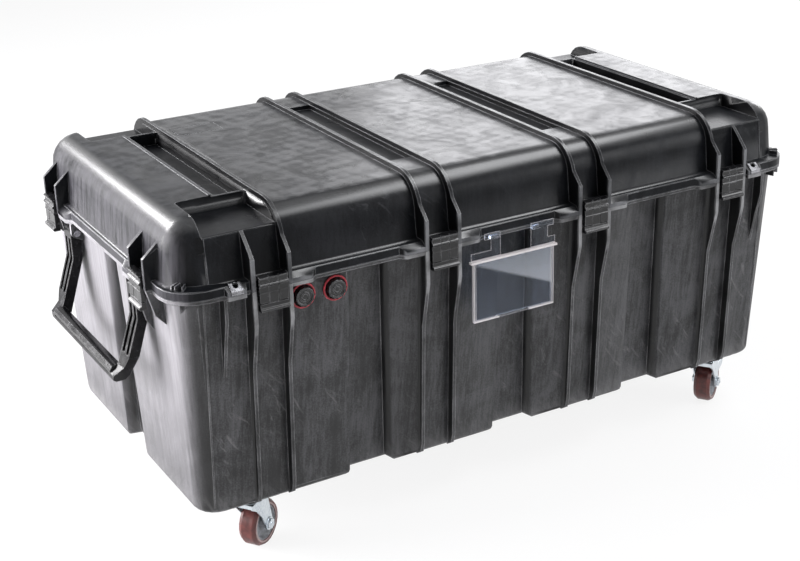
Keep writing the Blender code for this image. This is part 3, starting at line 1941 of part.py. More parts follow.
def make_pedal(name, place, material):
    mesh = bmesh.new()
    in_fork_plane(mesh, pedal_outline(), -pedal_half_width, pedal_half_width)
    pedal = new_object(name, mesh, material)
    union(pedal, pedal_trunnions)
    pedal.location = place
    pedal.rotation_euler = (0, 0, caster_heading)
    return pedal


def make_casters(materials):
    for name, sign_x, sign_y, braked in caster_sites():
        x = sign_x * kingpin_place[0]
        y = sign_y * kingpin_place[1]
        mesh = bmesh.new()
        plate_body(mesh)
        plate = new_object(f"{name}_plate", mesh, materials["plate"])
        union(plate, plate_race)
        union(plate, plate_kingpin)
        union(plate, plate_nut)
        union(plate, plate_screws)
        plate.location = (x, y, 0)
        make_fork(f"{name}_fork", (x, y, 0), braked, materials["zinc"])
        turn = Matrix.Rotation(caster_heading, 3, "Z")
        axle_centre = Vector((x, y, 0)) + turn @ Vector((caster_trail, 0, wheel_radius))
        make_wheel(name, axle_centre, materials)
        if braked:
            offset = turn @ Vector((brake_pivot[0], 0, brake_pivot[1]))
            make_pedal(f"{name}_brake", axle_centre + offset, materials["zinc"])


def main():
    clear_scene()
    shell = make_material("black_polyethylene", (0.022, 0.022, 0.024), 0.42)
    fitting = make_material("black_nylon", (0.016, 0.016, 0.018), 0.36)
    steel = make_material("stainless_steel", (0.62, 0.62, 0.64), 0.28, 1.0)
    materials = {
        "plate": make_material("black_plated_steel", (0.03, 0.03, 0.032), 0.5, 0.4),
        "zinc": make_material("zinc_plated_steel", (0.66, 0.69, 0.70), 0.32, 1.0),
        "tread": make_material("maroon_polyurethane", (0.16, 0.035, 0.03), 0.4),
        "hub": make_material("grey_nylon", (0.20, 0.21, 0.22), 0.5),
    }
    make_base(shell)
    make_lid(shell)
    make_seal(make_material("black_rubber", (0.02, 0.02, 0.02), 0.8))
    make_latches(fitting)
    make_hinge_pins(steel)
    make_handles(fitting)
    make_handle_pins(steel)
    make_valves(fitting, make_material("red_rubber", (0.55, 0.06, 0.08), 0.5))
    make_padlock_plates(steel)
    make_holder(make_material("clear_acrylic", (0.85, 0.87, 0.90), 0.05, 0.0, 0.9))
    make_casters(materials)


main()
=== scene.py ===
import json
import math

import bpy
from mathutils import Matrix, Vector

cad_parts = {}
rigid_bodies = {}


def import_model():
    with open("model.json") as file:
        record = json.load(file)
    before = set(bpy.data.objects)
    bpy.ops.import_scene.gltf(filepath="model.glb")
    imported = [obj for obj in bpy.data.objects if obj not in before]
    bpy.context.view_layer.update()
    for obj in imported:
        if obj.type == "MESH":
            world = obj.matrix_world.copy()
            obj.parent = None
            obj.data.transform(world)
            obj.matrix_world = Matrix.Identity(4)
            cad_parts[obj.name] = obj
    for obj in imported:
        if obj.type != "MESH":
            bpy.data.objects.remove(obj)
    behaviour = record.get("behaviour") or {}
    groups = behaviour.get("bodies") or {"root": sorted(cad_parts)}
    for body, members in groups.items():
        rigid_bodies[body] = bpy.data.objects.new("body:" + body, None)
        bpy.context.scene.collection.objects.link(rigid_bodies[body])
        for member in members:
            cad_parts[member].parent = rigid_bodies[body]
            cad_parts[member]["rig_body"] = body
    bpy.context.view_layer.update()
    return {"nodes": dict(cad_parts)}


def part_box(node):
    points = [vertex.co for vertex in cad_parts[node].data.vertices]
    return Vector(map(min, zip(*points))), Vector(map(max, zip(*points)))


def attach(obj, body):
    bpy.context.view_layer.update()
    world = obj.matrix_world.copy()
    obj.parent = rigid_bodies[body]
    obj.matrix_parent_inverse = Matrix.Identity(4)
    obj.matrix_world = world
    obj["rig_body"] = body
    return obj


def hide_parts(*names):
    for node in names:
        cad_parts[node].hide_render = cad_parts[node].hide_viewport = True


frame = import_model()
deg = math.radians
ends = ("left", "right")
rows = ("front", "rear")
latchNames = [f"latch_front_{n}" for n in (1, 2, 3, 4)]
latchNames += [f"latch_{end}_{row}" for end in ends for row in rows]
casterNames = [f"caster_{row}_{end}" for row in rows for end in ends]
print("frame loaded:", len(frame["nodes"]), "CAD nodes")


# Shader maths as plain expressions

class Sock:
    def __init__(self, finish, out):
        self.finish = finish
        self.out = out

    def calc(self, operation, *values):
        return self.finish.node("ShaderNodeMath", {"operation": operation}, dict(enumerate(values)))

    def __add__(self, other):
        return self.calc("ADD", self, other)

    def __sub__(self, other):
        return self.calc("SUBTRACT", self, other)

    def __rsub__(self, other):
        return self.calc("SUBTRACT", other, self)

    def __mul__(self, other):
        return self.calc("MULTIPLY", self, other)

    def __truediv__(self, other):
        return self.calc("DIVIDE", self, other)

    def __gt__(self, other):
        return self.calc("GREATER_THAN", self, other)

    def __lt__(self, other):
        return self.calc("LESS_THAN", self, other)

    def __abs__(self):
        return self.calc("ABSOLUTE", self)

    __radd__ = __add__
    __rmul__ = __mul__

    def sin(self):
        return self.calc("SINE", self)

    def most(self, other):
        return self.calc("MAXIMUM", self, other)


class Finish:
    # a material with its nodes, wired by the methods below
    bevelSamples = 4
    edgeWearAndHighlightSpan = (0.99, 0.90)  # how well flat and rounded normals agree where the pale edge band of wear and painted highlight starts and is full
    glossSpan = (0.3, 0.7)  # the stretch of a noise over which the roughness changes

    def __init__(self, name, **fixed):
        self.material = bpy.data.materials.new(name)
        self.material.use_nodes = True
        self.tree = self.material.node_tree
        self.shader = self.tree.nodes["Principled BSDF"]
        self.into(**fixed)
        self.place = self.node("ShaderNodeTexCoord", output="Object")

    def feed(self, socket, value):
        if isinstance(value, Sock):
            self.tree.links.new(value.out, socket)
        else:
            socket.default_value = value

    def into(self, **values):
        for key, value in values.items():
            self.feed(self.shader.inputs[key.replace("_", " ")], value)

    def node(self, kind, settings=None, inputs=None, output=0):
        made = self.tree.nodes.new(kind)
        for key, value in (settings or {}).items():
            setattr(made, key, value)
        for key, value in (inputs or {}).items():
            self.feed(made.inputs[key], value)
        return Sock(self, made.outputs[output])

    def noise(self, scale, detail, rough, warp=0.0, vector=None):
        inputs = {"Vector": vector or self.place, "Scale": scale, "Detail": detail,
                  "Roughness": rough, "Distortion": warp}
        return self.node("ShaderNodeTexNoise", {}, inputs)

    def stretched(self, scale, turn=(0, 0, 0), kind="POINT"):
        inputs = {"Vector": self.place, "Scale": scale, "Rotation": turn}
        return self.node("ShaderNodeMapping", {"vector_type": kind}, inputs)

    def grained(self, size, turn):
        # the place measured in units of size along axes that are turned
        return self.stretched(size, turn, "TEXTURE")

    def streaked(self, size, lean, detail, rough, warp):
        # noise drawn out into grains of one size that lean by an angle
        return self.noise(1.0, detail, rough, warp, self.grained(size, (0, deg(lean), 0)))

    def vectorMath(self, operation, inputs, output=0):
        return self.node("ShaderNodeVectorMath", {"operation": operation}, inputs, output)

    def warped(self, vector, scale, amount):
        drift = self.node("ShaderNodeTexNoise", {}, {"Vector": self.place, "Scale": scale}, "Color")
        drift = self.vectorMath("SUBTRACT", {0: drift, 1: (0.5, 0.5, 0.5)})
        drift = self.vectorMath("SCALE", {0: drift, "Scale": amount})
        return self.vectorMath("ADD", {0: vector, 1: drift})

    def flat(self):
        return self.node("ShaderNodeNewGeometry", output="Normal")

    def rounded(self, radius):
        return self.node("ShaderNodeBevel", {"samples": self.bevelSamples}, {"Radius": radius})

    def edgeWearAndHighlight(self, radius):
        # rises from 0 on flat stretches to 1 along the edges, the mask for edges painted pale for wear
        # and highlight
        match = self.vectorMath("DOT_PRODUCT", {0: self.rounded(radius), 1: self.flat()}, "Value")
        return self.between(match, *self.edgeWearAndHighlightSpan)

    def between(self, value, low, high, toLow=0.0, toHigh=1.0):
        settings = {"interpolation_type": "SMOOTHSTEP"}
        inputs = {"Value": value, "From Min": low, "From Max": high, "To Min": toLow, "To Max": toHigh}
        return self.node("ShaderNodeMapRange", settings, inputs)

    def gloss(self, value, roughness):
        return self.between(value, *self.glossSpan, *roughness)

    def mix(self, amount, first, second):
        made = self.tree.nodes.new("ShaderNodeMix")
        made.data_type = "RGBA"
        for key, value in {"Factor": amount, "A": first, "B": second}.items():
            socket = next(s for s in made.inputs if s.name == key and s.enabled)
            self.feed(socket, (*value, 1.0) if isinstance(value, tuple) else value)
        return Sock(self, next(s for s in made.outputs if s.enabled))

    def axes(self, vector=None):
        made = self.tree.nodes.new("ShaderNodeSeparateXYZ")
        self.feed(made.inputs[0], vector or self.place)
        return [Sock(self, out) for out in made.outputs]

    def facing(self):
        # the surface's own direction, so patterns can keep to the top or to the walls
        settings = {"vector_type": "NORMAL", "convert_from": "WORLD", "convert_to": "OBJECT"}
        return self.axes(self.node("ShaderNodeVectorTransform", settings, {0: self.flat()}))

    def relief(self, height, depth, edge=0.0):
        inputs = {"Height": height, "Distance": depth, "Strength": 1.0}
        if edge:
            inputs["Normal"] = self.rounded(edge)
        self.into(Normal=self.node("ShaderNodeBump", {}, inputs))

    def blended(self, share, second):
        # lays a second shader over the main one, by a share from 0 to 1
        inputs = {0: share, 1: Sock(self, self.shader.outputs[0]), 2: second}
        made = self.node("ShaderNodeMixShader", {}, inputs)
        self.feed(self.tree.nodes["Material Output"].inputs["Surface"], made)


# The moulded shells

baseLook = {
    "dark": (0.0075, 0.0078, 0.0086),
    "light": (0.062, 0.062, 0.066),
    "scuffAndSheenTone": (0.190, 0.186, 0.190),
    "scuffShare": 0.55,
    "roughness": (0.34, 0.55),
    "specular": 0.42,
    "edgeWearAndHighlightTone": (0.42, 0.42, 0.43),
    "edgeWearAndHighlightShare": 0.62,
    "endWearAndLightTone": (0.165, 0.160, 0.172),
    "endSpan": (0.52, 1.0),
    "sill": (0.150, 0.100),
}
lidLook = {
    "dark": (0.0030, 0.0035, 0.0045),
    "light": (0.0095, 0.0102, 0.0122),
    "scuffAndSheenTone": (0.110, 0.112, 0.120),
    "scuffShare": 0.30,
    "roughness": (0.27, 0.44),
    "specular": 0.12,
    "edgeWearAndHighlightTone": (0.34, 0.345, 0.36),
    "edgeWearAndHighlightShare": 0.55,
    "endWearAndLightTone": (0.040, 0.039, 0.045),
    "endSpan": (0.05, 1.0),
    "printPitch": (0.0420, 0.0360),
    "printTurn": -31.0,
    "crease": ((-0.100, 0.108), (0.165, 0.087)),
}
# what the base and the lid share
shellLook = {
    "coatRoughness": 0.24,
    "ribSideShadeTone": (0.002, 0.002, 0.0023),
    "ribSideShadeShare": 0.85,
    "sillShare": 0.45,
    "edgeWearAndHighlightRadius": 0.0022,
    "edge": 0.0012,
    "depth": 0.00035,
    "deckBand": 0.002,
    "printDrifts": ((9.0, 0.020), (30.0, 0.010)),
}
# scale, detail, roughness and warp of each noise
shellNoises = {
    "swirl": (7.0, 5.0, 0.62, 1.6),
    "blotch": (3.2, 3.0, 0.5, 0.5),
    "speck": (420.0, 2.0, 0.6),
    "grain": (900.0, 2.0, 0.6),
    "peel": (150.0, 3.0, 0.55),
    "wave": (26.0, 3.0, 0.5, 0.8),
    "cloud": (16.0, 4.0, 0.62, 1.4),
    "patch": (6.0, 3.0, 0.6, 0.6),
}
# size of the grains in metres, their lean in degrees, then detail, roughness and warp
shellStreaks = {
    "streak": ((0.030, 0.030, 0.22), 7, 4.0, 0.6, 0.4),
    "rub": ((0.016, 0.016, 0.075), -34, 6.0, 0.7, 0.9),
    "thread": ((0.0050, 0.0050, 0.060), 4, 5.0, 0.7, 0.2),
    "drawnDown": ((0.012, 0.007, 0.20), 0, 4.0, 0.65, 0.3),
}
# where each mask starts and ends, and what it rises from and to if not from 0 to 1
shellSpans = {
    "rub": (0.55, 0.74),
    "blotch": (0.42, 0.64),
    "tone": (0.41, 0.60),
    "sideways": (0.25, 0.60),
    "upright": (0.5, 0.2),
    "atEnd": (0.560, 0.590),
    "beforeEnd": (0.590, 0.560),
    "endWearAndPaintedLight": (0.34, 0.64),
    "sill": (0.40, 0.62),
    "edge": (0.32, 0.58, 0.30, 1.0),
    "ribFaceAcross": (0.3270, 0.3310),
    "ribFaceAlong": (0.6340, 0.6390),
    "ribFace": (0.36, 0.60, 0.25, 0.80),
    "onTop": (0.93, 0.985),
    "patch": (0.36, 0.62, 0.10, 1.0),
    "crease": (0.0022, 0.0),
    "sheen": (0.38, 0.62),
    "roundingLow": (0.56, 0.80),
    "roundingHigh": (0.985, 0.90),
    "leftFall": (-0.62, -0.30, 0.25, 1.0),
}


def shellFinish(name, own, deckHeight=None):
    look = {**shellLook, **own}
    finish = Finish(name, Specular_IOR_Level=look["specular"], Coat_Roughness=look["coatRoughness"])

    def noise(key):
        return finish.noise(*shellNoises[key])

    def streaked(key):
        return finish.streaked(*shellStreaks[key])

    def masked(value, key, *rise):
        return finish.between(value, *shellSpans[key], *rise)

    along, across, up = finish.axes()
    normalX, _, normalZ = finish.facing()
    swirl, blotch, grain = noise("swirl"), noise("blotch"), noise("grain")
    rub = streaked("rub")
    marks = masked(rub, "rub") * masked(blotch, "blotch")
    tone = swirl * 0.30 + streaked("streak") * 0.22 + streaked("thread") * 0.28 + noise("speck") * 0.20
    colour = finish.mix(masked(tone, "tone"), look["dark"], look["light"])
    colour = finish.mix(marks * look["scuffShare"], colour, look["scuffAndSheenTone"])

    # the end walls are rubbed dull and streaked, and their paler tone is partly painted light, as if lit
    # from the side
    sideways = masked(abs(normalX), "sideways")
    drawnDown = streaked("drawnDown") * 0.75 + swirl * 0.25
    endWearAndPaintedLight = sideways * masked(abs(along), "atEnd") * masked(drawnDown, "endWearAndPaintedLight", *look["endSpan"])
    colour = finish.mix(endWearAndPaintedLight, colour, look["endWearAndLightTone"])
    # painted shade: the sides of the ribs are darkened to deep black, as shade where they face away from
    # the light
    ribSideShade = sideways * masked(abs(along), "beforeEnd")
    colour = finish.mix(ribSideShade * look["ribSideShadeShare"], colour, look["ribSideShadeTone"])

    # the foot of the base is scraped; the edges are painted pale, partly as wear and partly as a painted
    # highlight, and the outer faces of the ribs are worn pale
    if "sill" in look:
        rubbed = finish.between(up, *look["sill"]) * masked(rub * 0.5 + blotch * 0.5, "sill")
        colour = finish.mix(rubbed * look["sillShare"], colour, look["scuffAndSheenTone"])
    # painted highlight and wear: pale bands along the edges
    edgeWearAndHighlight = finish.edgeWearAndHighlight(look["edgeWearAndHighlightRadius"]) * masked(swirl, "edge")
    ribFace = masked(abs(across), "ribFaceAcross").most(masked(abs(along), "ribFaceAlong"))
    edgeWearAndHighlight = edgeWearAndHighlight.most(ribFace * masked(normalZ, "upright") * masked(swirl, "ribFace"))
    colour = finish.mix(edgeWearAndHighlight * look["edgeWearAndHighlightShare"], colour, look["edgeWearAndHighlightTone"])
    roughness = finish.gloss(swirl, look["roughness"]) + marks * 0.10 + (grain - 0.5) * 0.08
    roughness = roughness + endWearAndPaintedLight * 0.16
    height = grain * 0.10 + noise("peel") * 0.20 + noise("wave") * 0.9

    if deckHeight:
        # the pattern inside the lid prints through on the deck as soft dashes
        onTop = masked(normalZ, "onTop") * (up > deckHeight - look["deckBand"])
        printed = finish.grained((1, 1, 1), (0, 0, deg(look["printTurn"])))
        for drift in look["printDrifts"]:
            printed = finish.warped(printed, *drift)
        lengthwise, crosswise, _ = finish.axes(printed)
        pitchU, pitchV = look["printPitch"]
        dash = (lengthwise * (2 * math.pi / pitchU)).sin() * (crosswise * (2 * math.pi / pitchV)).sin()
        dash = dash * masked(noise("patch"), "patch")
        cloud = noise("cloud")
        (startX, startY), (endX, endY) = look["crease"]
        slope = (endY - startY) / (endX - startX)
        gap = abs(across - (along * slope + (startY - slope * startX)))
        crease = masked(gap, "crease") * (along > startX) * (along < endX)
        height = height + (dash * 0.22 + cloud * 1.5) * onTop - crease * onTop * 1.6
        sheen = masked(cloud * 0.7 + dash * 0.09 + 0.15, "sheen")
        # painted sheen: the deck's colour is lifted towards the pale scuff tone where the cloudy sheen
        # mask rises
        colour = finish.mix(sheen * onTop * 0.20, colour, look["scuffAndSheenTone"])
        roughness = roughness + onTop * (sheen * 0.12 - 0.02)
        rounding = masked(normalZ, "roundingLow") * masked(normalZ, "roundingHigh")
        deckCoat = onTop * masked(along, "leftFall") * (sheen * 0.42 + 0.16)
        finish.into(Coat_Weight=deckCoat.most(rounding * 0.9))
    finish.into(Base_Color=colour, Roughness=roughness)
    finish.relief(height, look["depth"], look["edge"])
    return finish.material


# The fittings, metals, rubbers and the clear pocket

fittingLook = {
    "dark": (0.0035, 0.0035, 0.0040),
    "light": (0.0100, 0.0100, 0.0112),
    "roughness": (0.16, 0.28),
    "flow": (38.0, 4.0, 0.6, 0.8),
    "fine": (700.0, 2.0, 0.5),
    "toneSpan": (0.35, 0.7),
    "edgeWearAndHighlightRadius": 0.0018,
    "edgeWearAndHighlightSpan": (0.34, 0.60, 0.30, 1.0),
    "edgeWearAndHighlightTone": (0.32, 0.32, 0.33),
    "edgeWearAndHighlightShare": 0.46,
    "edge": 0.0007,
    "depth": 0.00018,
}


def fittingFinish(name, specular):
    look = fittingLook
    finish = Finish(name, Specular_IOR_Level=specular)
    flow = finish.noise(*look["flow"])
    colour = finish.mix(finish.between(flow, *look["toneSpan"]), look["dark"], look["light"])
    # pale edges on the fittings: partly wear, partly painted highlight
    edgeWearAndHighlight = finish.edgeWearAndHighlight(look["edgeWearAndHighlightRadius"]) * finish.between(flow, *look["edgeWearAndHighlightSpan"])
    colour = finish.mix(edgeWearAndHighlight * look["edgeWearAndHighlightShare"], colour, look["edgeWearAndHighlightTone"])
    fine = finish.noise(*look["fine"])
    finish.into(Base_Color=colour, Roughness=finish.gloss(flow, look["roughness"]))
    finish.relief(fine * 0.2 + flow * 0.5, look["depth"], look["edge"])
    return finish.material


steelLook = {
    "brush": (1.0, 4.0, 0.6, 0.0),
    "cloud": (60.0, 3.0, 0.55, 0.6),
    "toneSpan": (0.34, 0.66),
    "edge": 0.0004,
    "depth": 0.00008,
}


def steelFinish(name, light, dark, stretch, roughness):
    look = steelLook
    finish = Finish(name, Metallic=1.0)
    brushed = finish.noise(*look["brush"], finish.stretched(stretch))
    cloud = finish.noise(*look["cloud"])
    share = finish.between(brushed * 0.5 + cloud * 0.5, *look["toneSpan"])
    finish.into(Base_Color=finish.mix(share, dark, light), Roughness=finish.gloss(cloud, roughness))
    finish.relief(brushed, look["depth"], look["edge"])
    return finish.material


plainLook = {
    "cloud": (4.0, 0.6, 0.5),
    "fine": (2.0, 0.5),
    "fineTimes": 14,
    "toneSpan": (0.32, 0.68),
    "edge": 0.0006,
    "depth": 0.00015,
}


def plainFinish(name, light, dark, roughness, scale):
    look = plainLook
    finish = Finish(name)
    cloud = finish.noise(scale, *look["cloud"])
    fine = finish.noise(scale * look["fineTimes"], *look["fine"])
    share = finish.between(cloud, *look["toneSpan"])
    finish.into(Base_Color=finish.mix(share, dark, light), Roughness=finish.gloss(cloud, roughness))
    finish.relief(cloud * 0.6 + fine * 0.4, look["depth"], look["edge"])
    return finish.material


clearLook = {
    "refraction": 1.26,
    "coatRefraction": 2.3,
    "coatRoughness": 0.03,
    "flangeSide": 0.0057,
    "pocketHeight": 0.1085,
    "sideWidth": 0.0040,
    "tones": ((0.66, 0.71, 0.80), (0.72, 0.77, 0.86)),
    "cloud": (24.0, 4.0, 0.6, 0.7),
    "cloudWear": (0.40, 0.62),
    "hair": (1.0, 3.0, 0.6, 0.3),
    "hairStretch": (320, 320, 18),
    "hairLean": 24,
    "hairWear": (0.58, 0.72),
    "depth": 0.00010,
    "pocketRise": (0.03, 0.965),
    "pocketShare": (0.02, 0.98),
    "slant": 0.60,
    "slantSpan": (0.92, 0.99),
    "slantFade": (0.40, 1.05, 0.80, 0.42),
    "leftLine": (0.0020, 0.0010),
    "rightLine": (0.0016, 0.0008),
    "innerLine": (0.0008, 0.0003),
    "sillLine": (0.0040, 0.0022),
    "notch": (0.31, 0.69),
    "flange": (0.962, 1.012),
    "edgeWearAndHighlightRadius": 0.0014,
    "pale": {"Base Color": (0.88, 0.83, 0.83, 1.0), "Roughness": 0.22, "Transmission Weight": 0.35},
    "paleShare": 0.85,
}


def clearFinish(name, box):
    # bright where the edges gather light, with one slanted reflection across the pocket
    look = clearLook
    finish = Finish(name, Transmission_Weight=1.0, IOR=look["refraction"],
                    Coat_IOR=look["coatRefraction"], Coat_Roughness=look["coatRoughness"])
    low, high = box
    left, right, bottom = low.x + look["flangeSide"], high.x - look["flangeSide"], low.z
    along, _, up = finish.axes()
    share = (along - left) / (right - left)
    rise = (up - bottom) / look["pocketHeight"]

    def within(value, key):
        start, end = look[key]
        return (value > start) * (value < end)

    def line(place, key):
        return finish.between(abs(along - place), *look[key])

    # haze and fine scratches in the sheet itself
    cloud = finish.noise(*look["cloud"])
    hairPlace = finish.stretched(look["hairStretch"], (0, deg(look["hairLean"]), 0))
    hair = finish.between(finish.noise(*look["hair"], hairPlace), *look["hairWear"])
    wear = hair * finish.between(cloud, *look["cloudWear"])
    finish.into(Base_Color=finish.mix(cloud, *look["tones"]), Roughness=0.01 + wear * 0.05)
    finish.relief(cloud, look["depth"])

    # the reflection, kept inside the pocket
    inPocket = within(rise, "pocketRise") * within(share, "pocketShare")
    slanted = finish.between(rise + share * look["slant"], *look["slantSpan"])
    finish.into(Coat_Weight=slanted * inPocket * finish.between(rise, *look["slantFade"]))

    # the pale border: both sides, the sill with its thumb notch, the flange and the tabs' edges
    border = line(left, "leftLine").most(line(left + look["sideWidth"], "innerLine") * 0.5)
    border = border.most(line(right, "rightLine") * 0.8)
    border = border.most(line(right - look["sideWidth"], "innerLine") * 0.6)
    sillTop, sillFull = look["sillLine"]
    sill = finish.between(up, bottom + sillTop, bottom + sillFull)
    border = border.most(sill * (1.0 - within(share, "notch") * 0.85)) * (rise < 1.0)
    border = border.most(within(rise, "flange"))
    border = border.most(finish.edgeWearAndHighlight(look["edgeWearAndHighlightRadius"]) * (rise > 1.0) * 0.8)
    pale = finish.node("ShaderNodeBsdfPrincipled", {}, look["pale"])
    finish.blended(border * look["paleShare"], pale)
    return finish.material


deckDrop = 0.0085
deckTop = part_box("lid_shell")[1].z - deckDrop
materials = {
    "base": shellFinish("mouldedBlackBase", baseLook),
    "lid": shellFinish("mouldedBlackLid", lidLook, deckTop),
    "fitting": fittingFinish("blackNylon", 0.50),
    "handle": fittingFinish("blackHandle", 0.16),
    "seal": plainFinish("sealRubber", (0.030, 0.030, 0.030), (0.016, 0.016, 0.016),
                        (0.7, 0.9), 90.0),
    "stainless": steelFinish("stainlessSteel", (0.38, 0.38, 0.40), (0.15, 0.15, 0.16),
                             (900, 60, 900), (0.20, 0.36)),
    "zinc": steelFinish("zincPlate", (0.72, 0.76, 0.79), (0.52, 0.57, 0.62),
                        (240, 240, 240), (0.22, 0.42)),
    "blackSteel": plainFinish("blackCoatedSteel", (0.035, 0.035, 0.037), (0.018, 0.018, 0.019),
                              (0.40, 0.60), 120.0),
    "tread": plainFinish("maroonTread", (0.120, 0.025, 0.020), (0.055, 0.012, 0.011),
                         (0.28, 0.46), 70.0),
    "treadRing": plainFinish("paleTreadRing", (0.36, 0.27, 0.26), (0.24, 0.17, 0.165),
                             (0.40, 0.58), 90.0),
    "hub": plainFinish("greyHub", (0.26, 0.27, 0.29), (0.15, 0.155, 0.165),
                       (0.36, 0.56), 110.0),
    "ring": plainFinish("redRubber", (0.46, 0.036, 0.052), (0.22, 0.016, 0.024),
                        (0.40, 0.58), 120.0),
    "clear": clearFinish("clearAcrylic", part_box("document_holder")),
}
print("materials made:", len(materials))


# The CAD nodes, each shown by a cleaned copy with its finish

cleaning = {"mergeDistance": 0.00001, "flatAngle": 0.4, "smoothAngle": 32.0}


def setMaterial(thing, key):
    thing.data.materials.clear()
    thing.data.materials.append(materials[key])


def onlySelect(thing):
    if bpy.context.mode != "OBJECT":
        bpy.ops.object.mode_set(mode="OBJECT")
    bpy.ops.object.select_all(action="DESELECT")
    thing.select_set(True)
    bpy.context.view_layer.objects.active = thing


def dressNode(nodeName, key):
    # a node's mesh, merged and cleaned, shown in place of the raw node
    source = frame["nodes"][nodeName]
    piece = bpy.data.objects.new(nodeName + "_body", source.data.copy())
    bpy.context.scene.collection.objects.link(piece)
    onlySelect(piece)
    bpy.ops.object.mode_set(mode="EDIT")
    bpy.ops.mesh.select_all(action="SELECT")
    bpy.ops.mesh.remove_doubles(threshold=cleaning["mergeDistance"])
    bpy.ops.mesh.dissolve_limited(angle_limit=deg(cleaning["flatAngle"]))
    bpy.ops.object.mode_set(mode="OBJECT")
    bpy.ops.object.shade_smooth_by_angle(angle=deg(cleaning["smoothAngle"]))
    weighted = piece.modifiers.new("weighted", "WEIGHTED_NORMAL")
    weighted.keep_sharp = True
    bpy.ops.object.modifier_apply(modifier="weighted")
    setMaterial(piece, key)
    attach(piece, source["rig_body"])
    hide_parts(nodeName)


dressNode("base_shell", "base")
dressNode("lid_shell", "lid")
dressNode("lid_seal", "seal")
for nodeName in latchNames:
    dressNode(nodeName, "fitting")
    dressNode(nodeName + "_tongue", "fitting")
for end in ends:
    dressNode("handle_" + end, "handle")
    dressNode("padlock_plate_" + end, "stainless")
    for row in rows:
        dressNode(f"handle_pin_{end}_{row}", "stainless")
for number in (1, 2, 3, 4):
    dressNode(f"hinge_pin_{number}", "stainless")
for number in (1, 2):
    dressNode(f"valve_knob_{number}", "fitting")
    dressNode(f"valve_ring_{number}", "ring")
dressNode("document_holder", "clear")
for name in casterNames:
    dressNode(name + "_plate", "blackSteel")
    dressNode(name + "_fork", "zinc")
    dressNode(name + "_axle", "zinc")
    dressNode(name + "_hub", "hub")
    dressNode(name + "_tread", "tread")
    if name.endswith("right"):
        dressNode(name + "_brake", "zinc")
print("nodes dressed")


# The small trim of the casters

drumForm = {"capLimit": 0.9, "rimSegments": 2, "rimAngle": 40, "smoothAngle": 35}


def middle(nodeName):
    low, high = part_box(nodeName)
    return (low + high) / 2


def pickFaces(piece, wanted):
    # leaves the piece in edit mode with only the wanted faces selected
    onlySelect(piece)
    bpy.ops.object.mode_set(mode="EDIT")
    bpy.ops.mesh.select_all(action="DESELECT")
    bpy.ops.mesh.select_mode(type="FACE")
    bpy.ops.object.mode_set(mode="OBJECT")
    for face in piece.data.polygons:
        face.select = wanted(face)
    bpy.ops.object.mode_set(mode="EDIT")


def addDrum(name, setup, centre, turn=(0.0, 0.0, 0.0)):
    # a short drum with softened rims: a ring if it has a bore, with an axle's end on it if it has a stub
    bpy.ops.mesh.primitive_cylinder_add(vertices=setup["sides"], radius=setup["radius"],
                                        depth=setup["depth"], location=(0, 0, 0))
    piece = bpy.context.active_object
    piece.name = name
    capLimit = drumForm["capLimit"]
    pickFaces(piece, lambda face: abs(face.normal.z) > capLimit)
    if "bore" in setup:
        bpy.ops.mesh.inset(thickness=setup["radius"] - setup["bore"], depth=0.0)
        bpy.ops.mesh.bridge_edge_loops()
    bpy.ops.object.mode_set(mode="OBJECT")
    if "stub" in setup:
        pickFaces(piece, lambda face: face.normal.z > capLimit)
        bpy.ops.mesh.inset(thickness=setup["radius"] - setup["stub"], depth=0.0)
        bpy.ops.mesh.extrude_region_move(TRANSFORM_OT_translate={"value": (0, 0, setup["stubRise"])})
        bpy.ops.object.mode_set(mode="OBJECT")
    soft = piece.modifiers.new("soft", "BEVEL")
    soft.width = setup["soft"]
    soft.segments = drumForm["rimSegments"]
    soft.angle_limit = deg(drumForm["rimAngle"])
    bpy.ops.object.modifier_apply(modifier="soft")
    bpy.ops.object.shade_smooth_by_angle(angle=deg(drumForm["smoothAngle"]))
    piece.location = centre
    piece.rotation_euler = turn
    bpy.ops.object.transform_apply(location=True, rotation=True, scale=True)
    return piece


axleNut = {
    "sides": 6, "radius": 0.0094, "depth": 0.0048, "stub": 0.0040, "stubRise": 0.0018, "soft": 0.0005,
}
axleWasher = {"sides": 40, "radius": 0.0112, "depth": 0.0011, "soft": 0.0003}
swivelSeal = {"sides": 56, "radius": 0.0238, "depth": 0.0040, "bore": 0.0214, "soft": 0.0009}
treadRing = {"sides": 56, "radius": 0.0342, "depth": 0.0014, "bore": 0.0306, "soft": 0.0004}
axleTurn = 35.0
headStart = 0.0213
nutRest, washerRest, ringRest, sealRest = 0.0023, 0.0003, 0.0148, 0.0028


def dressCaster(name):
    centre = middle(name + "_axle")
    axis = Vector((-math.sin(deg(axleTurn)), math.cos(deg(axleTurn)), 0.0))
    for side, label in ((-1, "near"), (1, "far")):
        out = axis * side
        turn = out.to_track_quat("Z", "Y").to_euler()
        nut = addDrum(f"{name}_nut_{label}", axleNut, centre + out * (headStart + nutRest), turn)
        washer = addDrum(f"{name}_washer_{label}", axleWasher,
                         centre + out * (headStart + washerRest), turn)
        for piece in (nut, washer):
            setMaterial(piece, "zinc")
            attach(piece, name + "_fork")
        ring = addDrum(f"{name}_tread_ring_{label}", treadRing, centre + out * ringRest, turn)
        setMaterial(ring, "treadRing")
        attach(ring, name + "_wheel")
    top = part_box(name + "_fork")[1].z
    place = middle(name + "_plate")
    seal = addDrum(name + "_swivel_seal", swivelSeal, (place.x, place.y, top + sealRest))
    setMaterial(seal, "seal")
    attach(seal, "base")


for name in casterNames:
    dressCaster(name)
print("caster trim made")


# The studio

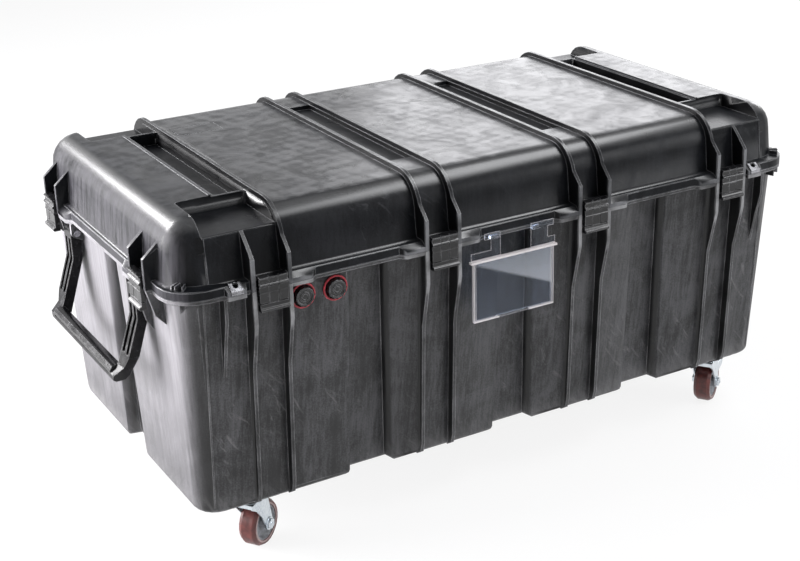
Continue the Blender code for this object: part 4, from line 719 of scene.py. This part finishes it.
cameraSetup = {
    "azimuth": -30.934, "elevation": 21.028, "roll": -1.071, "distance": 2.8715,
    "target": (0.0508, 0.0, 0.350), "focalPixels": 1532.38, "centre": (444.75, 242.49),
    "photoSize": (800, 561), "sensorWidth": 36.0, "clipEnd": 50.0,
}


def addCamera():
    setup = cameraSetup
    turn, lift, roll = deg(setup["azimuth"]), deg(setup["elevation"]), deg(setup["roll"])
    back = Vector((math.sin(turn) * math.cos(lift), -math.cos(turn) * math.cos(lift), math.sin(lift)))
    side = Vector((math.cos(turn), math.sin(turn), 0.0))
    up = back.cross(side)
    sideRolled = side * math.cos(roll) + up * math.sin(roll)
    upRolled = up * math.cos(roll) - side * math.sin(roll)
    place = Vector(setup["target"]) + back * setup["distance"]
    width, height = setup["photoSize"]
    centreX, centreY = setup["centre"]
    data = bpy.data.cameras.new("photoCamera")
    data.sensor_width = setup["sensorWidth"]
    data.lens = setup["focalPixels"] / width * data.sensor_width
    data.shift_x = (width / 2 - centreX) / width
    data.shift_y = (centreY - height / 2) / width
    data.clip_end = setup["clipEnd"]
    camera = bpy.data.objects.new("photoCamera", data)
    bpy.context.scene.collection.objects.link(camera)
    turned = Matrix((sideRolled, upRolled, back)).transposed().to_4x4()
    camera.matrix_world = Matrix.Translation(place) @ turned
    bpy.context.scene.camera = camera


def isSeen(tree):
    # 1 for rays from the camera, from gloss and through glass, 0 for light that is passed on
    path = tree.nodes.new("ShaderNodeLightPath")
    total = path.outputs["Is Camera Ray"]
    for name in ("Is Glossy Ray", "Is Transmission Ray"):
        most = tree.nodes.new("ShaderNodeMath")
        most.operation = "MAXIMUM"
        tree.links.new(total, most.inputs[0])
        tree.links.new(path.outputs[name], most.inputs[1])
        total = most.outputs[0]
    return total


floorSetup = {
    "size": 80.0, "drop": 0.0005, "roughness": 0.9, "cloud": (1.5, 2.0, 0.5),
    "tones": ((0.86, 0.86, 0.865), (0.88, 0.88, 0.885)),
    "glow": (1.0, 1.0, 1.0, 1.0), "glowShare": 0.86,
}


def addFloor():
    setup = floorSetup
    bpy.ops.mesh.primitive_plane_add(size=setup["size"], location=(0, 0, -setup["drop"]))
    floor = bpy.context.active_object
    floor.name = "studioFloor"
    finish = Finish("paleFloor", Roughness=setup["roughness"], Specular_IOR_Level=0.0)
    finish.into(Base_Color=finish.mix(finish.noise(*setup["cloud"]), *setup["tones"]))
    glow = finish.node("ShaderNodeEmission", {}, {"Color": setup["glow"]})
    finish.blended(Sock(finish, isSeen(finish.tree)) * setup["glowShare"], glow)
    floor.data.materials.append(finish.material)


worldSetup = {"colour": (0.99, 0.99, 1.0, 1.0), "passedOn": 0.38, "seen": 1.0}


def addWorld():
    setup = worldSetup
    world = bpy.data.worlds.new("studioWorld")
    world.use_nodes = True
    bpy.context.scene.world = world
    tree = world.node_tree
    background = tree.nodes["Background"]
    ranged = tree.nodes.new("ShaderNodeMapRange")
    ranged.inputs["To Min"].default_value = setup["passedOn"]
    ranged.inputs["To Max"].default_value = setup["seen"]
    tree.links.new(isSeen(tree), ranged.inputs["Value"])
    background.inputs["Color"].default_value = setup["colour"]
    tree.links.new(ranged.outputs[0], background.inputs["Strength"])


lampSetups = {
    "endLeft": {"place": (-2.7, 1.3, 1.1), "aim": (-0.62, 0.0, 0.35), "size": (2.4, 1.8),
                "power": 300.0, "colour": (1.0, 0.985, 1.0)},
    "backLeft": {"place": (-1.7, 2.35, 2.05), "aim": (-0.5, 0.0, 0.55), "size": (1.0, 0.9),
                 "power": 70.0, "colour": (1.0, 0.99, 1.0)},
    "backRight": {"place": (3.1, 2.7, 1.7), "aim": (0.4, 0.0, 0.6), "size": (3.2, 1.9),
                  "power": 62.0, "colour": (0.97, 0.97, 1.0)},
    "overhead": {"place": (1.1, -0.8, 2.7), "aim": (0.0, -0.3, 0.55), "size": (2.4, 0.9),
                 "power": 48.0, "colour": (0.97, 0.98, 1.0)},
    "frontRight": {"place": (2.7, -2.6, 1.5), "aim": (0.0, -0.3, 0.3), "size": (1.8, 1.6),
                   "power": 60.0, "colour": (0.97, 0.98, 1.0)},
}


def addLamp(name, setup):
    place, aim = Vector(setup["place"]), Vector(setup["aim"])
    data = bpy.data.lights.new(name, "AREA")
    data.shape = "RECTANGLE"
    data.size, data.size_y = setup["size"]
    data.energy = setup["power"]
    data.color = setup["colour"]
    lamp = bpy.data.objects.new(name, data)
    bpy.context.scene.collection.objects.link(lamp)
    lamp.location = place
    lamp.rotation_euler = (aim - place).to_track_quat("-Z", "Y").to_euler()


addCamera()
addFloor()
addWorld()
for name, setup in lampSetups.items():
    addLamp(name, setup)
bpy.context.scene.view_settings.view_transform = "Standard"
print("studio set")
